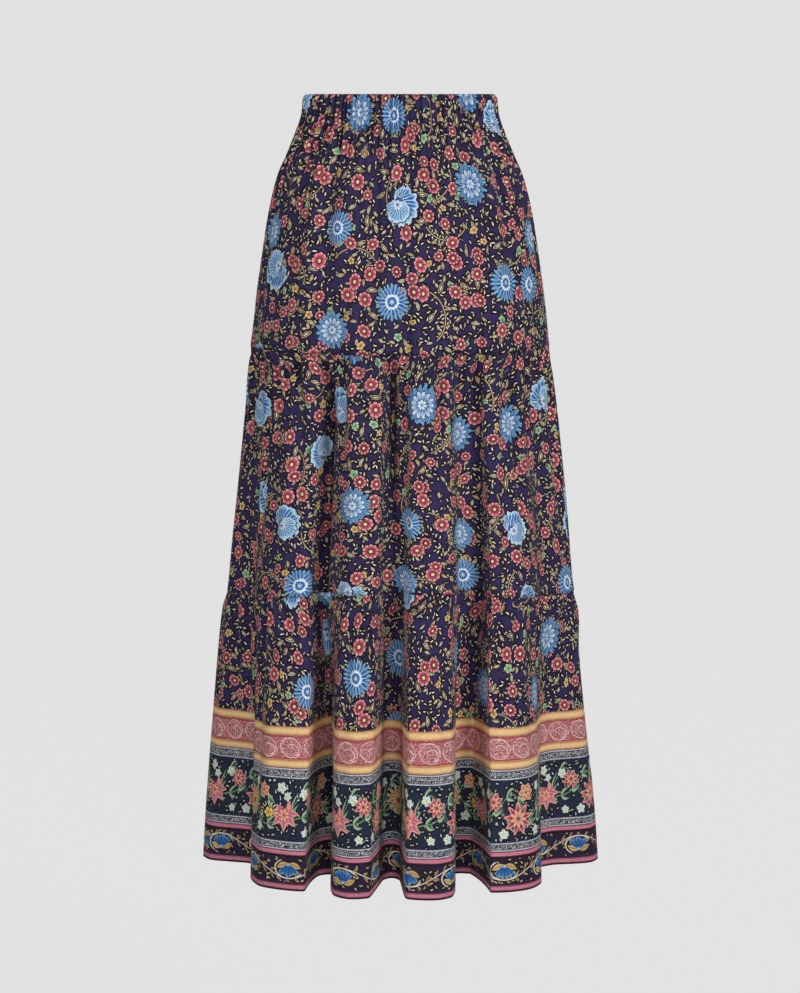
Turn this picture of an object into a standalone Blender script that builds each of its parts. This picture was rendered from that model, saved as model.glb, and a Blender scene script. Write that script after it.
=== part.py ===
"""Maxi skirt: an elasticated waistband, a yoke and two gathered tiers.

Metres, +Z up. The front faces -Y and +X is on the right of someone looking at the front.
The origin is the centre of the waistband, half way up the elastic, where the waist holds it.
Drops are measured straight down from the waistband's top edge. Angles are 0 at the centre
front, +90 at the +X side and 180 at the centre back.
"""
import bmesh
import bpy
from bisect import bisect_right
from collections import namedtuple
from math import cos, hypot, pi, radians, sin

# --- Driving sizes ---------------------------------------------------------------------------
BAND_HEIGHT = 0.040        # waistband, top edge to the yoke
YOKE_SEAM = 0.301          # drop of the seam between the yoke and the middle tier
LOWER_SEAM = 0.602         # drop of the seam between the middle and lower tiers, at the sides
HEM = 0.940                # drop of the hem: the skirt's length
SEAM_BOW = 0.024           # the lower seam lies this much higher at centre front and back
HOLLOW_LIFT = 0.014        # hem lift for each unit of reach that a hollow lies inward

CLOTH_WALL = 0.0012        # tiers and yoke
BAND_WALL = 0.0036         # folded casing with the elastic inside
SEAM_GAP = 0.0003          # between neighbouring pieces

SIDE_SEAM = 90.0           # angle of the side seams, either side of the centre front
FOLD_TWIST = 3.0           # degrees by which folds lean from the hem up to the waist
SHOULDER = 0.035           # how far a lobe's or hollow's shoulders fall back from its middle
COLUMNS_PER_GATHER = 4
GATHER_DEPTH_MIN = 0.64     # the shallowest gather's depth, where the deepest is 1
GATHER_DRIFT = 2.4          # radians by which the depths drift from one gather to the next
COLUMN_DRIFT = 0.7          # and from one column to the next

SAMPLES_PER_COLUMN = 40     # for measuring along a section
ANGLE_STEP = 0.05           # degrees to either side, for the direction of a section
SHARP_ANGLE = 50.0          # edges sharper than this are shaded as edges

# Level sections of the cloth's outermost form. fold is how far the folds have opened:
# 0 is a plain ellipse and 1 is the hem's full folds.
Section = namedtuple("Section", "drop half_width half_depth fold")
SECTIONS = (
    Section(0.000, 0.1168, 0.0885, 0.00),
    Section(0.020, 0.1180, 0.0900, 0.00),
    Section(0.042, 0.1245, 0.0955, 0.00),
    Section(0.069, 0.1362, 0.1040, 0.01),
    Section(0.097, 0.1480, 0.1115, 0.02),
    Section(0.126, 0.1562, 0.1170, 0.04),
    Section(0.160, 0.1632, 0.1215, 0.06),
    Section(0.230, 0.1730, 0.1285, 0.10),
    Section(0.301, 0.1806, 0.1345, 0.15),
    Section(0.357, 0.1890, 0.1405, 0.32),
    Section(0.430, 0.1970, 0.1460, 0.40),
    Section(0.519, 0.2050, 0.1530, 0.44),
    Section(0.602, 0.2130, 0.1580, 0.48),
    Section(0.626, 0.2196, 0.1606, 0.58),
    Section(0.668, 0.2244, 0.1650, 0.70),
    Section(0.758, 0.2326, 0.1700, 0.82),
    Section(0.849, 0.2408, 0.1750, 0.93),
    Section(0.940, 0.2470, 0.1785, 1.00),
)

# Hanging folds at the hem, in order of angle. Each is a lobe and the hollow that follows it:
# middle angle, half width in degrees and reach, where a reach of 1 is on the section's ellipse.
# before and after are the degrees by which the lobe's two sides hang over its neighbours, and
# swing is how far the hollow has moved sideways behind them.
Fold = namedtuple("Fold", "lobe lobe_half lobe_reach before after hollow hollow_half hollow_reach swing")
FOLDS = (
    Fold(-97.0, 7.0, 1.000, 3.0, 0.0, -74.0, 5.0, 0.740, 0.0),    # side lobe on the -X side
    Fold(-44.0, 6.8, 0.956, 0.0, 7.0, -30.5, 3.6, 0.600, -4.0),   # front lobes
    Fold(-14.0, 5.0, 0.990, 0.0, 0.0, -3.5, 3.5, 0.580, -0.5),
    Fold(9.5, 6.0, 1.000, 1.5, -1.0, 26.5, 5.0, 0.545, 4.5),
    Fold(39.5, 6.5, 0.968, 5.0, 0.5, 67.0, 6.5, 0.740, 1.0),
    Fold(94.0, 8.0, 1.000, 0.0, 4.0, 111.0, 5.0, 0.730, 1.0),     # side lobe on the +X side
    Fold(125.0, 6.5, 0.975, 3.0, 3.0, 139.0, 4.5, 0.630, 2.0),    # back lobes
    Fold(151.0, 5.5, 0.995, 2.0, 3.0, 162.5, 3.5, 0.590, -1.0),
    Fold(174.0, 6.0, 0.985, 2.0, 3.0, 187.0, 4.0, 0.610, 0.0),
    Fold(199.0, 5.5, 1.000, 3.0, 3.0, 211.5, 4.5, 0.600, -1.0),
    Fold(224.0, 7.0, 0.970, 3.0, 3.0, 243.0, 6.0, 0.720, -1.0),
)

# Rows down a piece. depth is the gathers' depth at that drop below the piece's top edge.
Row = namedtuple("Row", "below depth")
BAND_ROWS = (
    Row(0.000, 0.0012),
    Row(0.007, 0.0024),
    Row(0.020, 0.0020),
    Row(0.033, 0.0024),
    Row(0.040, 0.0014),
)
BAND_INSIDE_ROWS = BAND_ROWS[::2]   # the inside is plain, and follows the waist's curve

# Each tier: gathers and plain columns for the front or back half, the drop whose section
# spaces its columns, rows with gathers, then rows at half as many columns.
Tier = namedtuple("Tier", "name gathers spacing_drop gathered plain colour")
TIERS = (
    Tier(
        "yoke", 26, 0.160,
        (Row(0.000, 0.0014), Row(0.014, 0.0034), Row(0.045, 0.0026)),
        (Row(0.085, 0.0010), Row(0.130, 0.0), Row(0.195, 0.0)),
        (0.030, 0.026, 0.110),
    ),
    Tier(
        "middle_tier", 22, 0.519,
        (Row(0.000, 0.0008), Row(0.014, 0.0038), Row(0.042, 0.0026)),
        (Row(0.080, 0.0008), Row(0.135, 0.0), Row(0.220, 0.0)),
        (0.036, 0.028, 0.118),
    ),
    Tier(
        "lower_tier", 26, 0.700,
        (Row(0.000, 0.0008), Row(0.014, 0.0038), Row(0.044, 0.0028)),
        (Row(0.085, 0.0008), Row(0.140, 0.0), Row(0.205, 0.0), Row(0.272, 0.0)),
        (0.110, 0.040, 0.075),
    ),
)
BAND_COLOUR = (0.034, 0.028, 0.100)
CLOTH_ROUGHNESS = 0.72


# --- Curves ----------------------------------------------------------------------------------
def smooth_curve(xs, ys):
    """A curve through the points that never overshoots them."""
    count = len(xs)
    slopes = [(ys[i + 1] - ys[i]) / (xs[i + 1] - xs[i]) for i in range(count - 1)]
    tangents = [slopes[0]]
    for left, right in zip(slopes, slopes[1:]):
        turning = left * right <= 0.0
        tangents.append(0.0 if turning else 2.0 * left * right / (left + right))
    tangents.append(slopes[-1])

    def value(x):
        x = min(max(x, xs[0]), xs[-1])
        i = min(bisect_right(xs, x) - 1, count - 2)
        step = xs[i + 1] - xs[i]
        u = (x - xs[i]) / step
        start = (1 + 2 * u) * (1 - u) ** 2 * ys[i] + u * (1 - u) ** 2 * step * tangents[i]
        end = u * u * (3 - 2 * u) * ys[i + 1] + u * u * (u - 1) * step * tangents[i + 1]
        return start + end

    return value


def fold_curves():
    """Reach and sideways swing at the hem against angle, repeated past both ends."""
    angles = []
    reaches = []
    swings = []
    for turn in (-360.0, 0.0, 360.0):
        for f in FOLDS:
            for side, swing in ((-1.0, -f.before), (0.0, 0.0), (1.0, f.after)):
                angles.append(turn + f.lobe + side * f.lobe_half)
                reaches.append(f.lobe_reach - SHOULDER * abs(side))
                swings.append(swing)
            for side in (-1.0, 0.0, 1.0):
                angles.append(turn + f.hollow + side * f.hollow_half)
                reaches.append(f.hollow_reach + SHOULDER * abs(side))
                swings.append(f.swing)
    return smooth_curve(angles, reaches), smooth_curve(angles, swings)


drops = [s.drop for s in SECTIONS]
half_width = smooth_curve(drops, [s.half_width for s in SECTIONS])
half_depth = smooth_curve(drops, [s.half_depth for s in SECTIONS])
fold_opening = smooth_curve(drops, [s.fold for s in SECTIONS])
hem_reach, hem_swing = fold_curves()


def plan_point(angle, drop):
    """x and y of the cloth's outer face, before its gathers."""
    opening = fold_opening(drop)
    at_hem = angle - FOLD_TWIST * (1.0 - drop / HEM)
    out = 1.0 - opening * (1.0 - hem_reach(at_hem))
    t = radians(angle + opening * hem_swing(at_hem))
    return half_width(drop) * out * sin(t), -half_depth(drop) * out * cos(t)


# --- Rings -----------------------------------------------------------------------------------
def seam_height(angle, drop):
    """z of a drop: the lower seam bows up at centre front and back, the hem lifts in hollows."""
    above = max(0.0, (drop - YOKE_SEAM) / (LOWER_SEAM - YOKE_SEAM))
    below = max(0.0, (drop - LOWER_SEAM) / (HEM - LOWER_SEAM))
    bow = SEAM_BOW * cos(radians(angle)) ** 2 * (min(above, 1.0) ** 2) * (1.0 - below) ** 2
    lift = HOLLOW_LIFT * (1.0 - hem_reach(angle)) * below ** 2
    return BAND_HEIGHT / 2 - drop + bow + lift


def even_angles(start, end, count, drop):
    """count + 1 angles from start to end, evenly spaced along the cloth at the given drop."""
    fine = SAMPLES_PER_COLUMN * count
    angles = [start + (end - start) * i / fine for i in range(fine + 1)]
    points = [plan_point(a, drop) for a in angles]
    lengths = [0.0]
    for (x0, y0), (x1, y1) in zip(points, points[1:]):
        lengths.append(lengths[-1] + hypot(x1 - x0, y1 - y0))
    chosen = []
    for k in range(count + 1):
        target = lengths[-1] * k / count
        i = min(bisect_right(lengths, target) - 1, fine - 1)
        part = (target - lengths[i]) / (lengths[i + 1] - lengths[i])
        chosen.append(angles[i] + (angles[i + 1] - angles[i]) * part)
    return chosen


def slope(angle, drop):
    """Change in x and y for each degree, along the section at a drop."""
    (x0, y0), (x1, y1) = (plan_point(angle + way * ANGLE_STEP, drop) for way in (-1, 1))
    return (x1 - x0) / (2 * ANGLE_STEP), (y1 - y0) / (2 * ANGLE_STEP)


def tangent(angle, drop):
    """Unit direction of the section, towards a larger angle."""
    dx, dy = slope(angle, drop)
    return dx / hypot(dx, dy), dy / hypot(dx, dy)


def chord(a, b):
    """Unit direction from one point to another."""
    length = hypot(b[0] - a[0], b[1] - a[1])
    return (b[0] - a[0]) / length, (b[1] - a[1]) / length


def mitred(points, distance, ends=None):
    """The points moved inward by an even distance, square to the lines that join them.

    A closed ring has no ends. An open row is moved square to the two directions in ends.
    """
    count = len(points)
    moved = []
    for i, (x, y) in enumerate(points):
        if ends and i in (0, count - 1):
            ways = [ends[0] if i == 0 else ends[1]] * 2
        else:
            ways = [chord(points[i - 1], (x, y)), chord((x, y), points[(i + 1) % count])]
        nx = -sum(way[1] for way in ways)
        ny = sum(way[0] for way in ways)
        # The mitre is capped, so that a sharp gather doesn't reach through its neighbour.
        stretch = max((nx * nx + ny * ny) / 2.0, 1.0)
        moved.append((x + nx * distance / stretch, y + ny * distance / stretch))
    return moved


def gather_wave(column):
    """0 on a crest and -1 in a valley; neighbouring gathers differ a little in depth."""
    phase = (column + 0.5) / COLUMNS_PER_GATHER
    drift = sin(GATHER_DRIFT * int(phase) + COLUMN_DRIFT * column)
    unevenness = (1.0 + GATHER_DEPTH_MIN) / 2 + (1.0 - GATHER_DEPTH_MIN) / 2 * drift
    return (cos(2 * pi * phase) - 1.0) / 2.0 * unevenness


def outer_ring(angles, drop, depth, step):
    """Outer points of one row, moved inward by its gathers."""
    points = []
    for i, angle in enumerate(angles):
        x, y = plan_point(angle, drop)
        along_x, along_y = tangent(angle, drop)
        inward = -depth * gather_wave(i * step)
        points.append((x - along_y * inward, y + along_x * inward))
    return points


def short_of_seams(angles, drop):
    """The angles, with the first and last moved half a seam gap into the piece."""
    moved = list(angles)
    for end, way in ((0, 1.0), (-1, -1.0)):
        moved[end] += way * SEAM_GAP / 2 / hypot(*slope(moved[end], drop))
    return moved


# --- Solids ----------------------------------------------------------------------------------
def add_ring(bm, points, heights):
    """New vertices along one row."""
    return [bm.verts.new((x, y, z)) for (x, y), z in zip(points, heights)]


def join_rings(bm, upper, lower, closed):
    """Faces between two rings with as many points, or with half as many in the lower one."""
    if len(upper) == len(lower):
        count = len(upper) if closed else len(upper) - 1
        for i in range(count):
            j = (i + 1) % len(upper)
            bm.faces.new((upper[i], lower[i], lower[j], upper[j]))
        return
    for i in range(len(lower) - 1):
        a, b, c = upper[2 * i:2 * i + 3]
        bm.faces.new((a, lower[i], b))
        bm.faces.new((b, lower[i], lower[i + 1]))
        bm.faces.new((b, lower[i + 1], c))


def close_wall(bm, outer, inner, closed):
    """Skins through the outer and inner rings, joined along every edge of the piece."""
    for skin in (outer, inner):
        for upper, lower in zip(skin, skin[1:]):
            join_rings(bm, upper, lower, closed)
    join_rings(bm, outer[0], inner[0], closed)
    join_rings(bm, outer[-1], inner[-1], closed)
    if not closed:
        for end in (0, -1):
            out_edge = [ring[end] for ring in outer]
            in_edge = [ring[end] for ring in inner]
            join_rings(bm, out_edge, in_edge, False)
    bmesh.ops.recalc_face_normals(bm, faces=bm.faces)


def cloth_material(name, colour):
    material = bpy.data.materials.new(name)
    material.use_nodes = True
    shader = material.node_tree.nodes["Principled BSDF"]
    shader.inputs["Base Color"].default_value = (*colour, 1.0)
    shader.inputs["Roughness"].default_value = CLOTH_ROUGHNESS
    shader.inputs["Metallic"].default_value = 0.0
    return material


def add_object(name, bm, colour, collection, parent):
    mesh = bpy.data.meshes.new(name)
    bm.to_mesh(mesh)
    bm.free()
    mesh.materials.append(cloth_material(name + "_cloth", colour))
    mesh.shade_smooth()
    mesh.set_sharp_from_angle(angle=radians(SHARP_ANGLE))
    piece = bpy.data.objects.new(name, mesh)
    collection.objects.link(piece)
    piece.parent = parent
    return piece


def make_waistband(collection, parent):
    """The casing: gathered outside over a plain inside, all the way round."""
    columns = 2 * TIERS[0].gathers * COLUMNS_PER_GATHER
    angles = even_angles(-SIDE_SEAM, 360.0 - SIDE_SEAM, columns, BAND_HEIGHT / 2)[:-1]
    bm = bmesh.new()
    outer = []
    inner = []
    for row in BAND_ROWS:
        heights = [seam_height(a, row.below) for a in angles]
        outer.append(add_ring(bm, outer_ring(angles, row.below, row.depth, 1), heights))
        if row in BAND_INSIDE_ROWS:
            plain = [plan_point(a, row.below) for a in angles]
            inner.append(add_ring(bm, mitred(plain, BAND_WALL), heights))
    close_wall(bm, outer, inner, True)
    return add_object("waistband", bm, BAND_COLOUR, collection, parent)


def make_tier_half(tier, top, bottom, half, first_angle, collection, parent):
    """One side of a tier, from its top seam to its bottom seam or hem."""
    columns = tier.gathers * COLUMNS_PER_GATHER
    angles = even_angles(first_angle, first_angle + 180.0, columns, tier.spacing_drop)
    rows = [(row, 1) for row in tier.gathered] + [(row, 2) for row in tier.plain]
    rows.append((Row(bottom - top, 0.0), 2))
    bm = bmesh.new()
    outer = []
    inner = []
    for row, step in rows:
        drop = top + row.below
        at = short_of_seams(angles[::step], drop)
        heights = [seam_height(a, drop) for a in at]
        points = outer_ring(at, drop, row.depth, step)
        ends = (tangent(at[0], drop), tangent(at[-1], drop))
        outer.append(add_ring(bm, points, heights))
        inner.append(add_ring(bm, mitred(points, CLOTH_WALL, ends), heights))
    close_wall(bm, outer, inner, False)
    return add_object(f"{tier.name}_{half}", bm, tier.colour, collection, parent)


# --- The skirt -------------------------------------------------------------------------------
def clear_scene():
    """Remove what the new scene came with."""
    for item in list(bpy.data.objects):
        bpy.data.objects.remove(item, do_unlink=True)


def build_skirt():
    """All seven pieces, hanging from an empty at the centre of the waistband."""
    clear_scene()
    collection = bpy.data.collections.new("maxi_skirt")
    bpy.context.scene.collection.children.link(collection)
    waist = bpy.data.objects.new("waist_centre", None)
    collection.objects.link(waist)
    make_waistband(collection, waist)
    seams = (BAND_HEIGHT, YOKE_SEAM, LOWER_SEAM, HEM)
    for tier, top, bottom in zip(TIERS, seams, seams[1:]):
        lower_edge = bottom if bottom == HEM else bottom - SEAM_GAP / 2
        upper_edge = top + (SEAM_GAP if top == BAND_HEIGHT else SEAM_GAP / 2)
        for half, first_angle in (("front", -SIDE_SEAM), ("back", SIDE_SEAM)):
            make_tier_half(tier, upper_edge, lower_edge, half, first_angle, collection, waist)


build_skirt()
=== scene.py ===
"""Maxi skirt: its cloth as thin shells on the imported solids, its print, its sewing, and a studio.

Metres, in the part's own frame: +Z up, the front faces -Y, +X is on the right of someone who
looks at the front, and the origin is the centre of the waistband. Drops are measured straight
down from the waistband's top edge. Angles are 0 at the centre front, +90 at the +X side and
180 at the centre back. The driving sizes and the fold tables repeat those of the solids.
"""

from collections import namedtuple
from math import atan, cos, pi, sin

import bpy
import numpy as np
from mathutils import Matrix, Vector


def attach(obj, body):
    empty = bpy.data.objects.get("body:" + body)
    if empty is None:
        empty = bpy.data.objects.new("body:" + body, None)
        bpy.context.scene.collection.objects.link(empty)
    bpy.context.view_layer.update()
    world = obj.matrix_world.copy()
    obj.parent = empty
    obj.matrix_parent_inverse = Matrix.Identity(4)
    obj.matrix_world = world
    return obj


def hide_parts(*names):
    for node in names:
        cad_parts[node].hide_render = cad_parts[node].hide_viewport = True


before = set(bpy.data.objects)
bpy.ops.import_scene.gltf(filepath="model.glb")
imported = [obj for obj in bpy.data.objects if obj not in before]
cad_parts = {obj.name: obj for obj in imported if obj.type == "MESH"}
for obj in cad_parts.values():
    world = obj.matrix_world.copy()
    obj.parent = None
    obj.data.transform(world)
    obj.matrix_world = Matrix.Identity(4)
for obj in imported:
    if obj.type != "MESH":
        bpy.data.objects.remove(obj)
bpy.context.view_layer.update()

# --- Driving sizes, as in the solids ---------------------------------------------------------
BAND_HEIGHT = 0.040
YOKE_SEAM = 0.301
LOWER_SEAM = 0.602
HEM = 0.940
SEAM_BOW = 0.024           # how far the lower seam rises at centre front and back
HOLLOW_LIFT = 0.014        # how far the hem lifts in a hollow, per share of reach it lacks
BAND_WALL = 0.0036
SEAM_GAP = 0.0003
SIDE_SEAM = 90.0
FOLD_TWIST = 3.0           # degrees that a fold turns between the waist and the hem
SHOULDER = 0.035           # how much the reach changes over half a lobe or a hollow

# Drop, half width, half depth, and how open the folds are, as a share of those at the hem.
SECTIONS = np.array((
    (0.000, 0.1168, 0.0885, 0.00), (0.020, 0.1180, 0.0900, 0.00), (0.042, 0.1245, 0.0955, 0.00),
    (0.069, 0.1362, 0.1040, 0.01), (0.097, 0.1480, 0.1115, 0.02), (0.126, 0.1562, 0.1170, 0.04),
    (0.160, 0.1632, 0.1215, 0.06), (0.230, 0.1730, 0.1285, 0.10), (0.301, 0.1806, 0.1345, 0.15),
    (0.357, 0.1890, 0.1405, 0.32), (0.430, 0.1970, 0.1460, 0.40), (0.519, 0.2050, 0.1530, 0.44),
    (0.602, 0.2130, 0.1580, 0.48), (0.626, 0.2196, 0.1606, 0.58), (0.668, 0.2244, 0.1650, 0.70),
    (0.758, 0.2326, 0.1700, 0.82), (0.849, 0.2408, 0.1750, 0.93), (0.940, 0.2470, 0.1785, 1.00),
))

Fold = namedtuple("Fold", "lobe lobe_half lobe_reach before after hollow hollow_half hollow_reach swing")
FOLDS = [Fold(*row) for row in (
    (-97.0, 7.0, 1.000, 3.0, 0.0, -74.0, 5.0, 0.740, 0.0),
    (-44.0, 6.8, 0.956, 0.0, 7.0, -30.5, 3.6, 0.600, -4.0),
    (-14.0, 5.0, 0.990, 0.0, 0.0, -3.5, 3.5, 0.580, -0.5),
    (9.5, 6.0, 1.000, 1.5, -1.0, 26.5, 5.0, 0.545, 4.5),
    (39.5, 6.5, 0.968, 5.0, 0.5, 67.0, 6.5, 0.740, 1.0),
    (94.0, 8.0, 1.000, 0.0, 4.0, 111.0, 5.0, 0.730, 1.0),
    (125.0, 6.5, 0.975, 3.0, 3.0, 139.0, 4.5, 0.630, 2.0),
    (151.0, 5.5, 0.995, 2.0, 3.0, 162.5, 3.5, 0.590, -1.0),
    (174.0, 6.0, 0.985, 2.0, 3.0, 187.0, 4.0, 0.610, 0.0),
    (199.0, 5.5, 1.000, 3.0, 3.0, 211.5, 4.5, 0.600, -1.0),
    (224.0, 7.0, 0.970, 3.0, 3.0, 243.0, 6.0, 0.720, -1.0),
)]

# --- The cloth's own sizes -------------------------------------------------------------------
CLOTH = 0.0005             # thickness of the viscose
HEM_TURN = 0.011           # depth of the turned-up hem
HEM_EXTRA = 0.0006         # how much thicker the turned hem is, on the inside
SEAM_ALLOWANCE = 0.010
SEED = 7

# Gathers under a seam, finest first. count is round the whole ring, depth is from crest to
# valley; they rise from start to full and are gone at end, all measured below the seam.
Gather = namedtuple("Gather", "count depth start full end")
# Each tier's columns and rows are for its front or back half. u and v place its cut on the
# printed cloth, so that the print doesn't run on across a seam.
Tier = namedtuple("Tier", "name top bottom columns rows gathers u v slot")
TIERS = (
    Tier("yoke", BAND_HEIGHT, YOKE_SEAM, 420, 64, (
        Gather(112, 0.0058, -0.010, 0.004, 0.066),
        Gather(61, 0.0054, -0.010, 0.030, 0.150),
        Gather(27, 0.0052, 0.020, 0.110, 0.300),
    ), 0.0, 2.0, "printed_cloth"),
    Tier("middle_tier", YOKE_SEAM, LOWER_SEAM, 400, 72, (
        Gather(104, 0.0046, -0.010, 0.004, 0.040),
        Gather(52, 0.0084, 0.000, 0.024, 0.130),
        Gather(25, 0.0084, 0.024, 0.075, 0.320),
    ), 5.3, 1.1, "printed_cloth"),
    Tier("lower_tier", LOWER_SEAM, HEM, 450, 84, (
        Gather(124, 0.0044, -0.010, 0.004, 0.042),
        Gather(62, 0.0080, 0.000, 0.026, 0.135),
        Gather(28, 0.0074, 0.026, 0.080, 0.330),
    ), 9.7, 0.0, "border_cloth"),
)
BACK_SHIFT = 1.3           # how far along the printed cloth each back is cut from its front
BAND_COLUMNS = 1008
# The waistband's gathers run over its whole height.
BAND_GATHERS = (Gather(112, 0.0056, -1.0, -0.9, 9.0), Gather(61, 0.0024, -1.0, -0.9, 9.0))
BAND_CORNER = 0.009        # how far down the waistband's top edge is rounded
BAND_LEAN = 0.0036         # how far the rounding takes the top edge inward
SEAM_PUCKER = 0.0008       # how far the gathers pull a seam up and down
PUCKER_REACH = 0.008       # how far from the seam that still shows

# Long creases: angle at their middle, drop at both ends, half width and depth in
# metres, and how many degrees they lean over their length.
Crease = namedtuple("Crease", "angle top bottom half_width depth lean")
CREASES = [Crease(*row) for row in (
    # front
    (6.5, 0.045, 0.190, 0.006, 0.0044, 1.0), (-14.0, 0.050, 0.270, 0.007, 0.0048, -2.0),
    (-33.0, 0.050, 0.280, 0.008, 0.0052, -3.0), (-52.0, 0.045, 0.290, 0.008, 0.0056, -2.0),
    (19.0, 0.060, 0.296, 0.007, 0.0050, 2.0), (34.0, 0.055, 0.260, 0.007, 0.0044, 3.0),
    (53.0, 0.045, 0.300, 0.008, 0.0052, 2.0), (-3.0, 0.303, 0.580, 0.0055, 0.0150, 0.0),
    (-64.0, 0.303, 0.590, 0.009, 0.0100, -3.0), (-22.0, 0.304, 0.450, 0.0055, 0.0085, 2.0),
    (-31.5, 0.304, 0.760, 0.012, 0.0180, -1.0), (14.0, 0.304, 0.470, 0.0055, 0.0090, -2.0),
    (47.0, 0.305, 0.580, 0.007, 0.0095, 2.0), (-43.0, 0.305, 0.450, 0.0055, 0.0080, 0.0),
    (60.0, 0.303, 0.460, 0.006, 0.0085, 1.0), (-32.0, 0.603, 0.980, 0.011, 0.0190, 2.0),
    (4.0, 0.606, 0.760, 0.007, 0.0040, 1.0), (-52.0, 0.606, 0.720, 0.007, 0.0045, -1.0),
    (50.0, 0.604, 0.730, 0.007, 0.0045, 1.0), (14.0, 0.640, 0.860, 0.010, 0.0035, 1.0),
    (-39.0, 0.660, 0.900, 0.011, 0.0030, 0.0),
    # sides and back
    (86.0, 0.050, 0.280, 0.009, 0.0050, 2.0), (112.0, 0.045, 0.240, 0.007, 0.0040, 2.0),
    (134.0, 0.050, 0.290, 0.008, 0.0042, -2.0), (158.0, 0.050, 0.180, 0.006, 0.0030, 1.0),
    (181.0, 0.050, 0.250, 0.007, 0.0036, 2.0), (204.0, 0.045, 0.210, 0.006, 0.0032, -2.0),
    (228.0, 0.050, 0.290, 0.008, 0.0044, -2.0), (253.0, 0.050, 0.260, 0.009, 0.0048, -2.0),
    (97.0, 0.304, 0.520, 0.009, 0.0060, 2.0), (131.0, 0.303, 0.470, 0.007, 0.0056, 2.0),
    (156.0, 0.305, 0.580, 0.007, 0.0060, -1.0), (180.0, 0.303, 0.440, 0.006, 0.0050, 1.0),
    (193.0, 0.304, 0.520, 0.007, 0.0060, -2.0), (218.0, 0.303, 0.460, 0.007, 0.0054, -2.0),
    (250.0, 0.304, 0.560, 0.009, 0.0062, -2.0), (118.0, 0.605, 0.740, 0.008, 0.0046, 2.0),
    (169.0, 0.606, 0.800, 0.008, 0.0042, 1.0), (205.0, 0.606, 0.720, 0.007, 0.0046, -1.0),
    (234.0, 0.604, 0.780, 0.009, 0.0044, -2.0),
)]


# --- Curves ----------------------------------------------------------------------------------
def smooth_curve(xs, ys):
    """A curve through the points that never overshoots them, for whole arrays."""
    xs, ys = np.array(xs, float), np.array(ys, float)
    steps = np.diff(xs)
    slopes = np.diff(ys) / steps
    product = slopes[:-1] * slopes[1:]
    total = slopes[:-1] + slopes[1:]
    inner = np.where(product > 0.0, 2.0 * product / np.where(product > 0.0, total, 1.0), 0.0)
    tangents = np.concatenate([slopes[:1], inner, slopes[-1:]])

    def value(x):
        x = np.clip(x, xs[0], xs[-1])
        i = np.clip(np.searchsorted(xs, x, side="right") - 1, 0, len(xs) - 2)
        u = (x - xs[i]) / steps[i]
        start = (1 + 2 * u) * (1 - u) ** 2 * ys[i] + u * (1 - u) ** 2 * steps[i] * tangents[i]
        end = u * u * (3 - 2 * u) * ys[i + 1] + u * u * (u - 1) * steps[i] * tangents[i + 1]
        return start + end

    return value


def fold_curves():
    """Reach and sideways swing at the hem against angle, repeated past both ends."""
    rows = []
    for turn in (-360.0, 0.0, 360.0):
        for f in FOLDS:
            for side, swing in ((-1.0, -f.before), (0.0, 0.0), (1.0, f.after)):
                reach = f.lobe_reach - SHOULDER * abs(side)
                rows.append((turn + f.lobe + side * f.lobe_half, reach, swing))
            for side in (-1.0, 0.0, 1.0):
                reach = f.hollow_reach + SHOULDER * abs(side)
                rows.append((turn + f.hollow + side * f.hollow_half, reach, f.swing))
    angles, reaches, swings = zip(*rows)
    return smooth_curve(angles, reaches), smooth_curve(angles, swings)


half_width, half_depth, fold_opening = (smooth_curve(SECTIONS[:, 0], SECTIONS[:, k]) for k in (1, 2, 3))
hem_reach, hem_swing = fold_curves()


def smooth_step(low, high, x):
    t = np.clip((x - low) / (high - low), 0.0, 1.0)
    return t * t * (3.0 - 2.0 * t)


def ring_noise(seed, low, high, terms=9):
    """A smooth random curve round the skirt, about -1 to 1, that joins up after 360 degrees."""
    rng = np.random.default_rng(SEED * 1000 + seed)
    waves = rng.integers(low, high + 1, terms)
    shifts = rng.uniform(0, 2 * pi, terms)
    sizes = rng.uniform(0.6, 1.0, terms)

    def value(turn):
        turn = np.asarray(turn)[..., None]
        total = (sizes * np.sin(2 * pi * waves * turn + shifts)).sum(-1)
        return total / np.sqrt((sizes ** 2).sum() / 2) / 2.0

    return value


pucker = ring_noise(90, 40, 110, 16)


def unit(vectors):
    return vectors / np.linalg.norm(vectors, axis=-1, keepdims=True)


def plan_point(angle, drop):
    """x and y of the cloth's outermost form, before gathers and creases."""
    at_hem = angle - FOLD_TWIST * (1.0 - drop / HEM)
    opening = fold_opening(drop)
    out = 1.0 - opening * (1.0 - hem_reach(at_hem))
    t = np.radians(angle + opening * hem_swing(at_hem))
    return np.stack([half_width(drop) * out * np.sin(t), -half_depth(drop) * out * np.cos(t)], -1)


def away_from_middle(points, drop):
    """Level unit vectors out of the skirt as a whole, which don't follow its folds.

    Gathers and creases are set in along these, so that a fold's sides don't cross.
    """
    return unit(points / np.stack([half_width(drop) ** 2, half_depth(drop) ** 2], -1))


def seam_height(angle, drop):
    """z of a drop: the lower seam bows up at centre front and back, the hem lifts in hollows."""
    above = np.clip((drop - YOKE_SEAM) / (LOWER_SEAM - YOKE_SEAM), 0.0, 1.0)
    below = np.clip((drop - LOWER_SEAM) / (HEM - LOWER_SEAM), 0.0, 1.0)
    bow = SEAM_BOW * np.cos(np.radians(angle)) ** 2 * above ** 2 * (1.0 - below) ** 2
    lift = HOLLOW_LIFT * (1.0 - hem_reach(angle)) * below ** 2
    waver = sum(np.exp(-((drop - seam) / PUCKER_REACH) ** 2) for seam in (YOKE_SEAM, LOWER_SEAM))
    return BAND_HEIGHT / 2 - drop + bow + lift + SEAM_PUCKER * waver * pucker(angle / 360.0)


# Where cloth is measured: all the way round in steps of 1/40 degree, and points along half a row.
FINE_ANGLES = np.linspace(-SIDE_SEAM, 360.0 - SIDE_SEAM, 14401)
FINE_STEPS = 3601


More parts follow.
